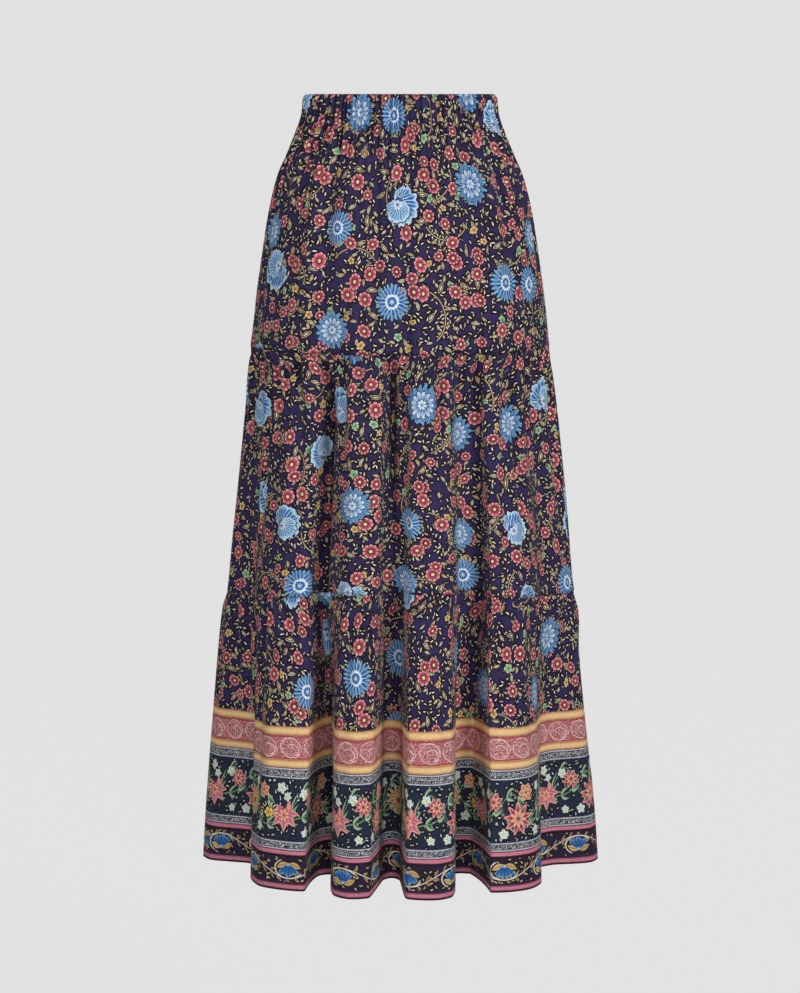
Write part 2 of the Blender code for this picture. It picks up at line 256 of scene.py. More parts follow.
def arc_lengths(drop):
    """Length along the whole section at a drop, up to each of the fine angles."""
    steps = np.hypot(*np.diff(plan_point(FINE_ANGLES, drop), axis=0).T)
    return np.concatenate([[0.0], np.cumsum(steps)])


def turn_at(angles, drop):
    """How far round the section at a drop each angle is, as a share of its length."""
    lengths = arc_lengths(drop)
    return np.interp(angles, FINE_ANGLES, lengths / lengths[-1])


# --- Gathers and creases ---------------------------------------------------------------------
VALLEY = 0.32              # how soft the bottom of a gather's valley is; 0 is a sharp line
# How uneven gathers are: how far they wander, and slide on their way down, in gathers; their
# mean depth and how much it varies, as shares; and how much their length varies.
WANDER, SLIDE = 0.55, 0.35
MEAN_STRENGTH, STRENGTH_SPREAD, LEAST_STRENGTH = 0.66, 0.34, 0.15
LENGTH_SPREAD = 0.45
# A crease deepens over the first tenth of its length and fades out over the lower part.
CREASE_START, CREASE_FULL, CREASE_FADE = -0.02, 0.10, 0.45
# The hanging cloth's soft waves: their height in metres, and the least and the most of them
# round the skirt. They are in full from WAVE_START below a seam.
BROAD_WAVE, BROAD_COUNT = 0.0010, (14, 30)
FINE_WAVE, FINE_COUNT = 0.0004, (34, 70)
SWAY_WAVE, SWAY_COUNT = 0.0008, (8, 24)
WAVE_START = 0.020
NEAR_SEAM, NEAR_SEAM_REACH = 0.6, 0.05  # how much weaker they are next to it, and over what depth


def crimp(phase):
    """1 in a narrow valley at each whole number, and 0 on the round crests between them."""
    swing = np.sqrt(np.sin(pi * phase) ** 2 + VALLEY ** 2)
    top = np.sqrt(1.0 + VALLEY ** 2)
    return (top - swing) / (top - VALLEY)


def gather_depth(turn, below, gathers, seed):
    """How far the gathers take the cloth inward."""
    depth = np.zeros(np.broadcast(turn, below).shape)
    for k, g in enumerate(gathers):
        # Where each gather wanders and drifts to, how deep it is, and how far down it reaches.
        ranges = ((3, g.count // 3), (5, g.count // 2), (g.count // 5, g.count // 2), (6, g.count // 2))
        wander, drift, deep, far = (ring_noise(seed + 10 * k + n, *waves)(turn)
                                    for n, waves in enumerate(ranges))
        strength = MEAN_STRENGTH + STRENGTH_SPREAD * deep
        reach = 1.0 + LENGTH_SPREAD * far
        slide = drift * below / g.end if g.end < 1.0 else 0.0
        phase = g.count * turn + WANDER * wander + SLIDE * slide
        faded = smooth_step(g.start, g.full, below) * (1.0 - smooth_step(g.full, g.end * reach, below))
        depth = depth + g.depth * np.clip(strength, LEAST_STRENGTH, 1.0) * faded * crimp(phase)
    return depth


def crease_depth(angle, drop, tier):
    """How far the long creases that start on a tier take the cloth inward."""
    depth = np.zeros(np.broadcast(angle, drop).shape)
    for c in CREASES:
        if not tier.top <= c.top < tier.bottom:
            continue
        along = (drop - c.top) / (c.bottom - c.top)
        middle = c.angle + c.lean * (along - 0.5)
        radius = (half_width(drop) + half_depth(drop)) / 2
        across = np.radians((angle - middle + 180.0) % 360.0 - 180.0) * radius / c.half_width
        starting = smooth_step(CREASE_START, CREASE_FULL, along)
        ends = starting * (1.0 - smooth_step(CREASE_FADE, 1.0, along))
        depth = depth + c.depth * ends * np.exp(-across ** 2)
    return depth


def ripple(turn, drop, seed):
    """Soft uneven waves of the hanging cloth, in metres, out and in."""
    broad = ring_noise(seed, *BROAD_COUNT)(turn)
    fine = ring_noise(seed + 1, *FINE_COUNT)(turn)
    # The sway drifts round the skirt, and swells and dies down, on the cloth's way to the hem.
    sway = ring_noise(seed + 2, *SWAY_COUNT)(turn + 0.010 * np.sin(drop * 16.0))
    return (BROAD_WAVE * broad + FINE_WAVE * fine
            + SWAY_WAVE * sway * np.sin(drop * 21.0 + 5.0 * broad))


# --- Inks: shader nodes written as arithmetic ------------------------------------------------
class Num:
    """A number, vector or colour that shader nodes work out. Arithmetic adds Math nodes."""

    def __init__(self, socket):
        self.socket = socket

    def __neg__(self):
        return calc("MULTIPLY", self, -1.0)

    def __abs__(self):
        return calc("ABSOLUTE", self)

    def under(self, colour, share):
        """This colour with another one laid over it, where share is 1."""
        return over(self, colour, share)


for sign, math_kind in (("add", "ADD"), ("sub", "SUBTRACT"), ("mul", "MULTIPLY"), ("truediv", "DIVIDE")):
    setattr(Num, f"__{sign}__", lambda self, other, kind=math_kind: calc(kind, self, other))
    setattr(Num, f"__r{sign}__", lambda self, other, kind=math_kind: calc(kind, other, self))


def fill(node, given):
    """Sets a node's inputs, by number or name. A worked-out value is linked to its input."""
    for key, value in given.items():
        if isinstance(value, Num):
            node.id_data.links.new(value.socket, node.inputs[key])
        else:
            node.inputs[key].default_value = value


def add_node(kind, given, **settings):
    """A new node in the same material as the worked-out values that it is given."""
    near = next(value for value in given.values() if isinstance(value, Num))
    node = near.socket.id_data.nodes.new(kind)
    for name, value in settings.items():
        setattr(node, name, value)
    fill(node, given)
    return node


def calc(operation, *values):
    node = add_node("ShaderNodeMath", dict(enumerate(values)), operation=operation)
    return Num(node.outputs[0])


def vector_calc(operation, *values):
    node = add_node("ShaderNodeVectorMath", dict(enumerate(values)), operation=operation)
    return Num(node.outputs[0])


def fade(value, low, high):
    """0 up to low and 1 from high, smooth between; low may be the greater of the two."""
    node = add_node("ShaderNodeMapRange", {0: value, 1: low, 2: high}, interpolation_type="SMOOTHSTEP")
    return Num(node.outputs[0])


def ink(red, green, blue):
    """A colour given as on a screen, 0 to 255."""
    shares = np.array([red, green, blue]) / 255
    linear = np.where(shares <= 0.04045, shares / 12.92, ((shares + 0.055) / 1.055) ** 2.4)
    return (*linear.tolist(), 1.0)


def over(below, colour, share):
    """A colour laid over another one, where share is 1."""
    node = add_node("ShaderNodeMix", {0: share, 6: below, 7: colour}, data_type="RGBA")
    return Num(node.outputs[2])


def ramp(value, stops, interpolation="LINEAR"):
    """A colour looked up along stops of (place from 0 to 1, colour)."""
    node = add_node("ShaderNodeValToRGB", {0: value})
    node.color_ramp.interpolation = interpolation
    elements = node.color_ramp.elements
    elements[0].position, elements[0].color = stops[0]
    elements[1].position, elements[1].color = stops[-1]
    for place, colour in stops[1:-1]:
        elements.new(place).color = colour
    return Num(node.outputs[0])


def noise(place, size, detail=1.0):
    """Soft random shading, 0 to 1 about 0.5, with blots of a size in mm."""
    given = {"Vector": place, "Scale": 1.0 / size, "Detail": detail}
    return Num(add_node("ShaderNodeTexNoise", given, noise_dimensions="2D").outputs[0])


def axes(place):
    node = add_node("ShaderNodeSeparateXYZ", {0: place})
    return Num(node.outputs[0]), Num(node.outputs[1])


def distance(x, y):
    return calc("SQRT", x * x + y * y)


def cosine(value):
    return calc("COSINE", value)


def sine(value):
    return calc("SINE", value)


Spot = namedtuple("Spot", "x y size kind centre")


def scatter(place, cell, spread, shift):
    """The nearest of many random points about cell mm apart.

    x and y are mm from it, turned at random; size and kind are its own random numbers.
    """
    moved = vector_calc("ADD", place, (shift * 311.0, shift * 173.0, 0.0))
    given = {"Vector": moved, "Scale": 1.0 / cell, "Randomness": spread}
    node = add_node("ShaderNodeTexVoronoi", given, voronoi_dimensions="2D")
    centre = Num(node.outputs["Position"])
    away = vector_calc("SUBTRACT", moved, centre)
    split = add_node("ShaderNodeSeparateColor", {0: Num(node.outputs["Color"])})
    turn, size, kind = (Num(output) for output in split.outputs)
    given = {"Vector": away, "Angle": turn * (2 * pi)}
    turned = add_node("ShaderNodeVectorRotate", given, rotation_type="Z_AXIS")
    return Spot(*axes(Num(turned.outputs[0])), size, kind, centre)


# --- Motifs ----------------------------------------------------------------------------------
NAVY = ink(52, 44, 88)
HALO = ink(27, 19, 34)
CREAM = ink(232, 220, 184)
GOLD = ink(206, 178, 130)
DARK_BLUE = ink(20, 44, 104)
DEEP_BLUE = ink(34, 70, 124)
MID_BLUE = ink(50, 106, 164)
LIGHT_BLUE = ink(106, 164, 204)
WHITE = ink(208, 222, 230)
EDGE = 0.22                # half the softness of a printed edge, mm


def inside(distance_out):
    """1 inside a shape, from how far outside it a point is, in mm."""
    return fade(distance_out, EDGE, -EDGE)


def within(share, soft=0.03):
    """1 inside a flower's outline, from a point's share of the outline's radius."""
    return fade(share, 1.0 + soft, 1.0 - soft)


def lens(x, y, length, width):
    """How far outside a pointed leaf a point is; length and width are half sizes."""
    along = x / length
    return abs(y) - (1.0 - along * along) * width


Petals = namedtuple("Petals", "away share between vein")


def petals(x, y, count, radius, depth, turn=0.0, pointed=False):
    """A flower's measures: distance from its middle, share of its outline's radius, and the
    distances from the line between two petals and from the middle of a petal."""
    away = distance(x, y)
    half_turns = (calc("ARCTAN2", y, x) + turn) * (count / 2)
    round_petal = abs(cosine(half_turns))
    off_middle = abs(sine(half_turns))
    fullness = 1.0 - off_middle * (off_middle * 0.6 + 0.4) if pointed else round_petal
    outline = (fullness * depth + (1.0 - depth)) * radius
    width = away * (2.0 / count)
    return Petals(away, away / outline, round_petal * width, off_middle * width)


def dash_layer(colour, place, cell, shift, length, width, skip, stops):
    """Grains of cream and gold, each with its dark outline, thinner in some patches."""
    spot = scatter(place, cell, 1.0, shift)
    bent = spot.y + spot.x * spot.x * 0.05
    crowd = noise(spot.centre, 70.0) * 1.2 - skip
    size = 0.75 + spot.size * 0.5
    out = lens(spot.x, bent, size * length, size * width)
    there = fade(spot.kind, crowd + 0.02, crowd)
    return (colour.under(HALO, fade(out, 3.6, 1.5) * there)
            .under(ramp(spot.size, stops, "CONSTANT"), inside(out) * there))


def stem_layer(colour, place):
    """Thin curved stems with a row of small leaves along either side."""
    spot = scatter(place, 92.0, 0.7, 5)
    bow = 34.0
    x, y = spot.x, spot.y + bow - 9.0
    from_stem = distance(x, y) - bow
    along = calc("ARCTAN2", x, y) * bow
    reach = 24.0 + spot.size * 13.0
    on_stem = calc("LESS_THAN", abs(along), reach)
    line = abs(from_stem)
    leaf_x = calc("PINGPONG", along, 5.0) - 2.5
    leaf_y = line - 3.2
    leaf = lens(leaf_y * 0.75 - leaf_x * 0.66, leaf_x * 0.75 + leaf_y * 0.66, 2.2, 0.66)
    leafy = calc("LESS_THAN", abs(along - 14.0), reach - 20.0)
    return (colour.under(HALO, fade(line, 2.0, 0.8) * on_stem)
            .under(HALO, fade(leaf, 1.5, 0.4) * leafy)
            .under(CREAM, inside(leaf) * leafy)
            .under(ink(190, 165, 125), inside(line - 0.55) * on_stem))


def leaf_layer(colour, place, cell, shift, length, width):
    """Leaves outlined in gold round a dark inside and a pale core."""
    spot = scatter(place, cell, 0.95, shift)
    size = 0.8 + spot.size * 0.45
    out = lens(spot.x, spot.y + spot.x * spot.x * 0.025, size * length, size * width)
    there = calc("LESS_THAN", spot.kind, 0.74)
    return (colour.under(HALO, fade(out, 2.2, 0.6) * there)
            .under(over(CREAM, GOLD, spot.size), inside(out) * there)
            .under(ink(66, 46, 48), inside(out + 0.62) * there)
            .under(CREAM, inside(out + size * width * 0.72) * there))


def small_flower_layer(colour, place, cell, shift, light, dark):
    """Small lobed flowers in a light and a dark tint."""
    spot = scatter(place, cell, 0.85, shift)
    radius = 4.2 + spot.size * 2.0
    p = petals(spot.x, spot.y * (1.0 + spot.kind * 0.5), 5, radius, 0.30)
    colour = colour.under(HALO, fade(p.share * radius, radius + 2.2, radius + 0.5))
    tint = (ramp(p.share, ((0.0, CREAM), (0.22, dark), (0.40, light), (0.78, light), (1.0, CREAM)))
            .under(dark, fade(p.between, 0.55, 0.20) * fade(p.share, 0.2, 0.4))
            .under(dark, fade(p.vein, 0.35, 0.12) * fade(p.share, 0.9, 0.7)))
    return colour.under(tint, within(p.share))


ROSETTE = ((0.0, ink(232, 220, 172)), (0.23, ink(212, 194, 140)), (0.28, ink(74, 34, 48)),
           (0.36, ink(134, 48, 68)), (0.47, ink(190, 84, 102)), (0.72, ink(206, 104, 118)),
           (0.88, ink(230, 150, 150)), (1.0, ink(238, 170, 164)))


def rosette_layer(colour, place, cell, shift, count, skip):
    """Coral rosettes, dark between the petals and pale in the middle."""
    spot = scatter(place, cell, 0.85, shift)
    radius = 7.0 + spot.size * 3.0
    p = petals(spot.x, spot.y * (1.0 + spot.kind * 0.35), count, radius, 0.13)
    there = calc("GREATER_THAN", spot.kind, skip)
    colour = colour.under(HALO, fade(p.share * radius, radius + 2.6, radius + 0.6) * there)
    vein = fade(p.vein, 0.45, 0.18) * fade(p.share, 0.78, 0.64) * fade(p.share, 0.2, 0.3)
    tint = (ramp(p.share, ROSETTE)
            .under(ink(84, 26, 46), fade(p.between, 0.80, 0.30) * fade(p.share, 0.25, 0.4))
            .under(ink(92, 28, 48), vein))
    return colour.under(tint, within(p.share) * there)


def aster(x, y, radius):
    """A blue flower of many narrow petals round a ring of white dots."""
    p = petals(x, y, 24, radius, 0.30)
    inner = petals(x, y, 17, radius * 0.74, 0.30, 0.13)
    tint = (ramp(p.share, ((0.0, DEEP_BLUE), (0.45, DEEP_BLUE), (0.7, MID_BLUE), (1.0, LIGHT_BLUE)))
            .under(WHITE, fade(p.vein, 0.42, 0.12) * 0.55)
            .under(ink(24, 44, 104), fade(p.between, 0.50, 0.2) * fade(p.share, 0.3, 0.6)))
    on_inner = within(inner.share)
    tint = (tint.under(MID_BLUE, on_inner)
            .under(WHITE, fade(inner.vein, 0.5, 0.15) * on_inner)
            .under(DEEP_BLUE, fade(inner.between, 0.42, 0.15) * on_inner)
            .under(ink(38, 88, 152), fade(p.share, 0.42, 0.36)))
    dots = petals(x, y, 11, radius, 0.0)
    tint = tint.under(WHITE, inside(distance(dots.away - radius * 0.35, dots.vein) - radius * 0.085))
    core = petals(x, y, 7, radius * 0.22, 0.30)
    tint = (tint.under(MID_BLUE, within(core.share, 0.05))
            .under(WHITE, fade(core.vein, 0.45, 0.15) * fade(core.share, 0.8, 0.7)))
    return tint, p.share


def chrysanthemum(x, y, radius):
    """A blue flower of two rings of narrow petals, each with pale strokes."""
    outer = petals(x, y, 17, radius, 0.30)
    fine = petals(x, y, 51, radius, 0.0)
    stops = ((0.0, DEEP_BLUE), (0.55, ink(42, 94, 154)), (0.85, MID_BLUE), (1.0, LIGHT_BLUE))
    tint = (ramp(outer.share, stops)
            .under(ink(150, 194, 224), fade(fine.vein, 0.42, 0.10) * fade(outer.share, 0.55, 0.7))
            .under(DARK_BLUE, fade(outer.between, 0.55, 0.2) * fade(outer.share, 0.3, 0.5)))
    inner = petals(x, y, 13, radius * 0.66, 0.36, 0.2)
    on_inner = within(inner.share)
    petal = ramp(inner.share, ((0.0, DEEP_BLUE), (0.5, MID_BLUE), (1.0, WHITE)))
    tint = (tint.under(DARK_BLUE, fade(inner.share, 1.16, 1.06))
            .under(petal, on_inner)
            .under(DEEP_BLUE, fade(inner.between, 0.50, 0.15) * on_inner)
            .under(WHITE, fade(inner.vein, 0.34, 0.10) * on_inner))
    core = petals(x, y, 7, radius * 0.24, 0.40)
    on_core = within(core.share, 0.05)
    tint = (tint.under(WHITE, on_core)
            .under(DEEP_BLUE, fade(core.between, 0.42, 0.15) * on_core))
    return tint, outer.share


def fan_part(x, y, radius, stripes, stops):
    """A striped fan that opens along y from (0, 0), with a scalloped edge."""
    away = distance(x, y)
    turn = calc("ARCTAN2", x, y)
    spread = calc("MAXIMUM", 1.0 - turn * turn * 0.15, 0.05) * radius
    scallop = abs(cosine(turn * (stripes / 2)))
    share = away / ((scallop * 0.09 + 0.91) * spread)
    stripe = abs(sine(turn * stripes)) * away / stripes
    tint = (ramp(share, stops)
            .under(ink(196, 216, 230), fade(stripe, 0.60, 0.18) * fade(share, 0.25, 0.40))
            .under(DEEP_BLUE, fade(stripe, 0.30, 0.60) * fade(share, 0.60, 0.40) * 0.6))
    return tint, share


def fan(x, y, radius):
    """A blue shell-like flower seen from the side: a dark striped fan behind a pale one."""
    dark = ((0.0, DEEP_BLUE), (0.35, ink(38, 84, 144)), (0.80, ink(50, 106, 168)),
            (0.90, ink(138, 186, 218)), (1.0, WHITE))
    pale = ((0.0, WHITE), (0.35, ink(54, 110, 164)), (0.80, ink(88, 146, 192)), (1.0, WHITE))
    tint, share = fan_part(x, y + radius * 0.55, radius * 1.45, 16.0, dark)
    low = y + radius * 0.30
    side_tint, side = fan_part(x * 0.34 - low * 0.94, x * 0.94 + low * 0.34, radius * 0.98, 13.0, pale)
    tint = tint.under(HALO, fade(side, 1.10, 1.03)).under(side_tint, within(side, 0.02))
    core = petals(x - radius * 0.06, y + radius * 0.34, 7, radius * 0.26, 0.30)
    core_tint = over(WHITE, DEEP_BLUE, fade(core.between, 0.5, 0.2))
    return tint.under(core_tint, within(core.share, 0.04)), calc("MINIMUM", share, side)


# The large blue flowers: what draws each kind, its size, and which random numbers give it.
BLUE_KINDS = ((aster, 0.98, 0.0, 0.36), (fan, 1.02, 0.36, 0.70), (chrysanthemum, 1.06, 0.70, 1.01))


def blue_layer(colour, place):
    spot = scatter(place, 106.0, 0.66, 3)
    ragged = noise(place, 5.0) * 0.34 + 0.83
    radius = (20.0 + spot.size * 3.5) * ragged
    for draw, size, low, high in BLUE_KINDS:
        tint, share = draw(spot.x, spot.y, radius * size)
        there = calc("COMPARE", spot.kind, (low + high) / 2, (high - low) / 2)
        colour = (colour.under(HALO, fade(share, 1.16, 1.03) * there)
                  .under(tint, within(share, 0.015) * there))
    return colour


GRAINS = ((0.0, ink(255, 246, 216)), (0.60, ink(240, 222, 178)), (0.86, GOLD), (0.96, ink(170, 204, 184)))


def main_print(place):
    """The floral print of the yoke, the tiers and the casing, from a place in mm."""
    colour = over(NAVY, ink(42, 35, 70), noise(place, 60.0))
    colour = dash_layer(colour, place, 7.7, 0, 2.1, 0.54, -0.06, GRAINS)
    colour = dash_layer(colour, place, 9.9, 1, 2.5, 0.64, -0.12, GRAINS)
    colour = leaf_layer(colour, place, 16.0, 9, 3.9, 1.45)
    colour = stem_layer(colour, place)
    colour = leaf_layer(colour, place, 27.0, 2, 6.2, 2.3)
    colour = small_flower_layer(colour, place, 62.0, 4, ink(222, 186, 104), ink(140, 84, 52))
    colour = small_flower_layer(colour, place, 66.0, 6, ink(146, 196, 146), ink(64, 118, 92))
    colour = rosette_layer(colour, place, 35.0, 7, 8, 0.16)
    colour = rosette_layer(colour, place, 58.0, 8, 10, 0.12)
    return blue_layer(colour, place)


# --- Border ----------------------------------------------------------------------------------
BAND_NAVY = ink(36, 42, 62)
VINE_NAVY = ink(40, 32, 58)
DARK_LINE = ink(30, 22, 36)
PINK = ink(202, 128, 148)
DARK_ROSE = ink(128, 36, 62)
ROSE = ink(174, 96, 102)
GREY = ink(118, 118, 126)
STRIPE = ink(222, 178, 112)
LEAF_GREEN = ink(112, 144, 112)
PALE_GREEN = ink(186, 206, 172)
CORAL = ink(198, 96, 104)
PEACH = ink(232, 172, 142)
# What each band of the border spans, in mm above the hem.
HEM_RAIL = (1.8, 7.4)
VINE_SPAN = (10.8, 40.2)
UPPER_RAIL = (43.2, 49.0)
LOWER_ORNAMENT = (49.0, 60.0)
FLORAL_SPAN = (61.0, 132.0)
UPPER_ORNAMENT = (133.0, 145.5)
LOWER_STRIPE = (145.5, 155.0)
SCROLL_SPAN = (155.0, 183.0)
UPPER_STRIPE = (183.0, 193.5)
# The ground's colours, each from its height up.
BORDER_BANDS = (
    (0.0, ink(30, 20, 52)), (HEM_RAIL[0], PINK), (HEM_RAIL[1], ink(48, 32, 58)), (10.6, VINE_NAVY),
    (40.5, DARK_LINE), (UPPER_RAIL[0], PINK), (LOWER_ORNAMENT[0], GREY), (60.0, BAND_NAVY),
    (UPPER_ORNAMENT[0], GREY), (LOWER_STRIPE[0], STRIPE), (SCROLL_SPAN[0], ROSE),
    (UPPER_STRIPE[0], STRIPE), (UPPER_STRIPE[1], NAVY),
)
BAND_TOP = 200.0           # the end of the bands' colour ramp
FLORAL_MIDDLE = 96.5
FLORAL_REPEAT = 186.0
FLORAL_SHIFT = 116.0
SCROLL_REPEAT = 33.0
VINE_MIDDLE = 25.5
VINE_REPEAT = 120.0
PALMETTE_SIZE = 1.35
SOFT = 0.2                 # half the softness of a band's edges, mm


def between(h, span):
    """1 in a band of the border, from the heights that it spans."""
    low, high = span
    return fade(h, low - SOFT, low + SOFT) * fade(h, high + SOFT, high - SOFT)


def repeat(value, step):
    """A distance along the border, wrapped to half a step either side of zero."""
    return calc("WRAP", value, -step / 2, step / 2)


def squiggles(place, size, width):
    """Fine curling lines: where soft shading crosses its middle."""
    return fade(abs(noise(place, size, 0.0) - 0.5), width, width * 0.4)


def ornament(colour, place, u, h, span):
    """A grey band of dark curls between two dotted pale edges."""
    on = between(h, span)
    colour = (colour.under(ink(226, 224, 216), squiggles(place, 3.1, 0.085) * on)
              .under(ink(26, 24, 38), squiggles(place, 4.6, 0.100) * on)
              .under(ink(60, 58, 74), squiggles(place, 2.4, 0.06) * on * 0.7))
    dots = abs(calc("PINGPONG", u, 1.2) - 0.6)
    for edge, way in zip(span, (1.0, -1.0)):
        rail = abs(h - (edge + way * 1.3))
        colour = (colour.under(ink(56, 60, 92), inside(abs(h - (edge + way * 2.6)) - 0.35))
                  .under(ink(206, 214, 222), inside(rail - 0.6) * fade(dots, 0.05, 0.3))
                  .under(ink(40, 38, 66), inside(abs(h - (edge + way * 0.2)) - 0.3)))
    return colour


def scroll_band(colour, place, u, h):
    """The rose band: fine scribble, with long rings of a pale line, each round a curl."""
    on = between(h, SCROLL_SPAN)
    colour = (colour.under(ink(96, 44, 62), squiggles(place, 2.5, 0.070) * on)
              .under(ink(226, 158, 154), squiggles(place, 3.3, 0.060) * on))
    x, y = repeat(u, SCROLL_REPEAT), h - sum(SCROLL_SPAN) / 2
    slant = y + x * 0.14
    ring = distance(x * 0.80, slant) - 9.6 - noise(place, 7.0) * 3.4
    filled = inside(ring)
    colour = (colour.under(ink(196, 126, 128), filled * 0.45)
              .under(ink(84, 40, 62), filled * squiggles(place, 2.8, 0.080))
              .under(ink(236, 196, 192), filled * squiggles(place, 4.0, 0.045)))
    curl = distance(x * 0.80 - 2.6, slant + 1.6) - 6.2
    wave = abs(y - cosine(u * (pi / SCROLL_REPEAT)) * 11.6)
    pale = ink(234, 204, 194)
    ring_line = inside(abs(ring) - 0.38) * fade(abs(slant + x * 0.3), 0.8, 2.0)
    colour = (colour.under(pale, inside(abs(curl) - 0.34) * fade(x + y, -5.0, -2.0) * on)
              .under(pale, ring_line * on * 0.85)
              .under(pale, inside(wave - 0.34) * on * 0.8))
    for rail in (SCROLL_SPAN[0] + 1.4, SCROLL_SPAN[1] - 1.4):
        colour = colour.under(ink(150, 52, 60), inside(abs(h - rail) - 0.5))
    return colour


GOLD_SHADES = ((0.0, ink(236, 204, 156)), (0.45, ink(226, 186, 130)), (0.72, ink(200, 150, 100)),
               (0.90, ink(160, 104, 74)), (1.0, ink(96, 62, 56)))


def gold_stripe(colour, place, h, span):
    """A soft gold stripe, browner at its edges and mottled."""
    across = abs(h - sum(span) / 2) / ((span[1] - span[0]) / 2)
    mottle = fade(noise(place, 2.2, 2.0), 0.45, 0.75) * 0.8
    return colour.under(ramp(across, GOLD_SHADES).under(ink(206, 162, 112), mottle), between(h, span))


class Drawn(namedtuple("Drawn", "colour cover")):
    """A drawing, and how far each point of it is covered, for the specks that go under it."""

    def lay(self, tint, share):
        """The drawing with a tint laid on it, where share is 1."""
        return Drawn(over(self.colour, tint, share), calc("MAXIMUM", self.cover, share))


def star(drawn, x, y, at, count, radius, depth, stops, line):
    """A layered flower with pointed petals, in the tints of stops and a dark line."""
    p = petals(x, y, count, radius, depth, at[0], pointed=True)
    q = petals(x, y, count, radius * 0.62, depth, at[0] + pi / count, pointed=True)
    pale, mid = stops[-1][1], stops[0][1]
    drawn = drawn.lay(line, fade(p.share, 1.08, 1.0))
    tint = (ramp(p.share, stops)
            .under(line, fade(p.between, 0.6, 0.2) * fade(p.share, 0.2, 0.35))
            .under(line, fade(p.vein, 0.36, 0.12) * fade(p.share, 0.96, 0.84) * 0.75)
            .under(line, fade(p.share, 0.80, 0.55) * 0.55))
    on_inner = within(q.share)
    tint = (tint.under(line, fade(q.share, 1.14, 1.06))
            .under(ramp(q.share, ((0.0, pale), (0.5, mid), (1.0, pale))), on_inner)
            .under(line, fade(q.between, 0.5, 0.15) * on_inner)
            .under(line, fade(q.vein, 0.30, 0.1) * on_inner * 0.5))
    return drawn.lay(tint, within(p.share, 0.02))


def lotus(drawn, x, y, at, radius):
    """A pink flower seen from the side, its pointed petals fanned downward, and a bud on top."""
    low = y - radius * 0.55
    away = distance(x, low)
    turn = calc("ARCTAN2", x, -low)
    point = abs(cosine(turn * 4.5 + pi / 2))
    outline = (point * -0.34 + 1.0) * calc("MAXIMUM", 1.0 - turn * turn * 0.10, 0.05) * radius * 1.45
    share = away / outline
    vein = abs(sine(turn * 9.0)) * away / 9.0
    vein_line = fade(vein, 0.5, 0.15) * fade(share, 0.15, 0.3) * fade(share, 0.98, 0.8)
    tint = (ramp(share, ((0.0, PEACH), (0.35, ink(222, 112, 120)), (0.8, PINK), (1.0, PEACH)))
            .under(DARK_ROSE, vein_line))
    drawn = drawn.lay(ink(96, 26, 48), fade(share, 1.07, 1.0)).lay(tint, within(share, 0.02))
    core = petals(x, low + radius * 0.30, 7, radius * 0.50, 0.42, 0.4, pointed=True)
    bud = lens(y - radius * 0.86, x - radius * 0.36, radius * 0.38, radius * 0.17)
    return (drawn.lay(DARK_ROSE, fade(core.share, 1.15, 1.05))
            .lay(PEACH, within(core.share))
            .lay(ink(168, 66, 72), fade(core.between, 0.6, 0.2) * within(core.share))
            .lay(DARK_ROSE, inside(bud - 0.7))
            .lay(ink(222, 146, 140), inside(bud)))


def rayed_bud(drawn, x, y, at, radius):
    """A yellow bud with a ring of short rays."""
    p = petals(x, y, 16, radius * 2.1, 0.0)
    ray = inside(p.vein - 0.55) * fade(abs(p.away - radius * 1.75), radius * 0.42, radius * 0.32)
    drawn = drawn.lay(CREAM, ray * fade(y, -radius * 0.8, 0.0))
    q = petals(x, y, 5, radius, 0.25, 0.6)
    return drawn.lay(over(ink(228, 194, 92), ink(132, 92, 40), fade(q.between, 0.7, 0.25)),
                     within(q.share))


def white_flower(drawn, x, y, at, radius):
    """A small white flower with grey-blue veins."""
    p = petals(x, y, 5, radius, 0.42, at[1])
    tint = (over(ink(214, 226, 214), ink(92, 120, 132), fade(p.vein, 0.45, 0.15) * 0.8)
            .under(ink(206, 190, 110), fade(p.share, 0.30, 0.22)))
    return drawn.lay(tint, within(p.share))


def curling_vine(drawn, u, h, swing, phase):
    """A green stem that waves along the floral band, with leaves either side."""
    on = between(h, FLORAL_SPAN)
    angle = u * (2 * pi * 2 / FLORAL_REPEAT) + phase
    x = repeat(u + 9.0, 15.5)
    off = h - (FLORAL_MIDDLE + cosine(angle) * swing + sine(angle * 2.0 + 1.0) * 5.0)
    drawn = drawn.lay(LEAF_GREEN, inside(abs(off) - 0.75) * on)
    tilt = abs(off) - 4.6
    along = x * 0.78 + tilt * 0.62
    bent = tilt * 0.78 - x * 0.62 + along * along * 0.05
    leaf = lens(along, bent, 7.4, 2.1)
    return (drawn.lay(DARK_LINE, inside(leaf - 0.6) * on)
            .lay(LEAF_GREEN, inside(leaf) * on)
            .lay(PALE_GREEN, inside(abs(bent - 0.6) - 0.55) * inside(leaf + 0.5) * on))


FLORAL_SPECKS = ((0.0, CREAM), (0.4, ink(170, 200, 160)), (0.75, WHITE))
VINE_SPECKS = ((0.0, GOLD), (0.6, ink(148, 148, 112)))
STAR_PINK = ((0.0, PEACH), (0.35, ink(176, 78, 86)), (0.78, CORAL), (1.0, ink(238, 178, 162)))
STAR_GOLD = ((0.0, ink(220, 182, 122)), (0.5, ink(190, 142, 88)), (1.0, ink(228, 194, 146)))
ROSE_PEACH = ((0.0, ink(226, 172, 132)), (0.5, ink(196, 118, 92)), (1.0, ink(234, 184, 148)))
PINK_LINE, PEACH_LINE, GOLD_LINE = ink(100, 32, 48), ink(120, 54, 48), ink(84, 52, 36)
# The small white flowers' middles, along and above the hem, and their radii, in mm.
WHITE_FLOWERS = ((14.0, 70.0, 6.5), (62.0, 70.0, 7.0), (70.0, 121.0, 6.0), (100.0, 125.0, 6.5),
                 (112.0, 74.0, 6.5), (146.0, 122.0, 7.0), (154.0, 112.0, 5.5), (176.0, 116.0, 6.5),
                 (178.0, 70.0, 5.5))
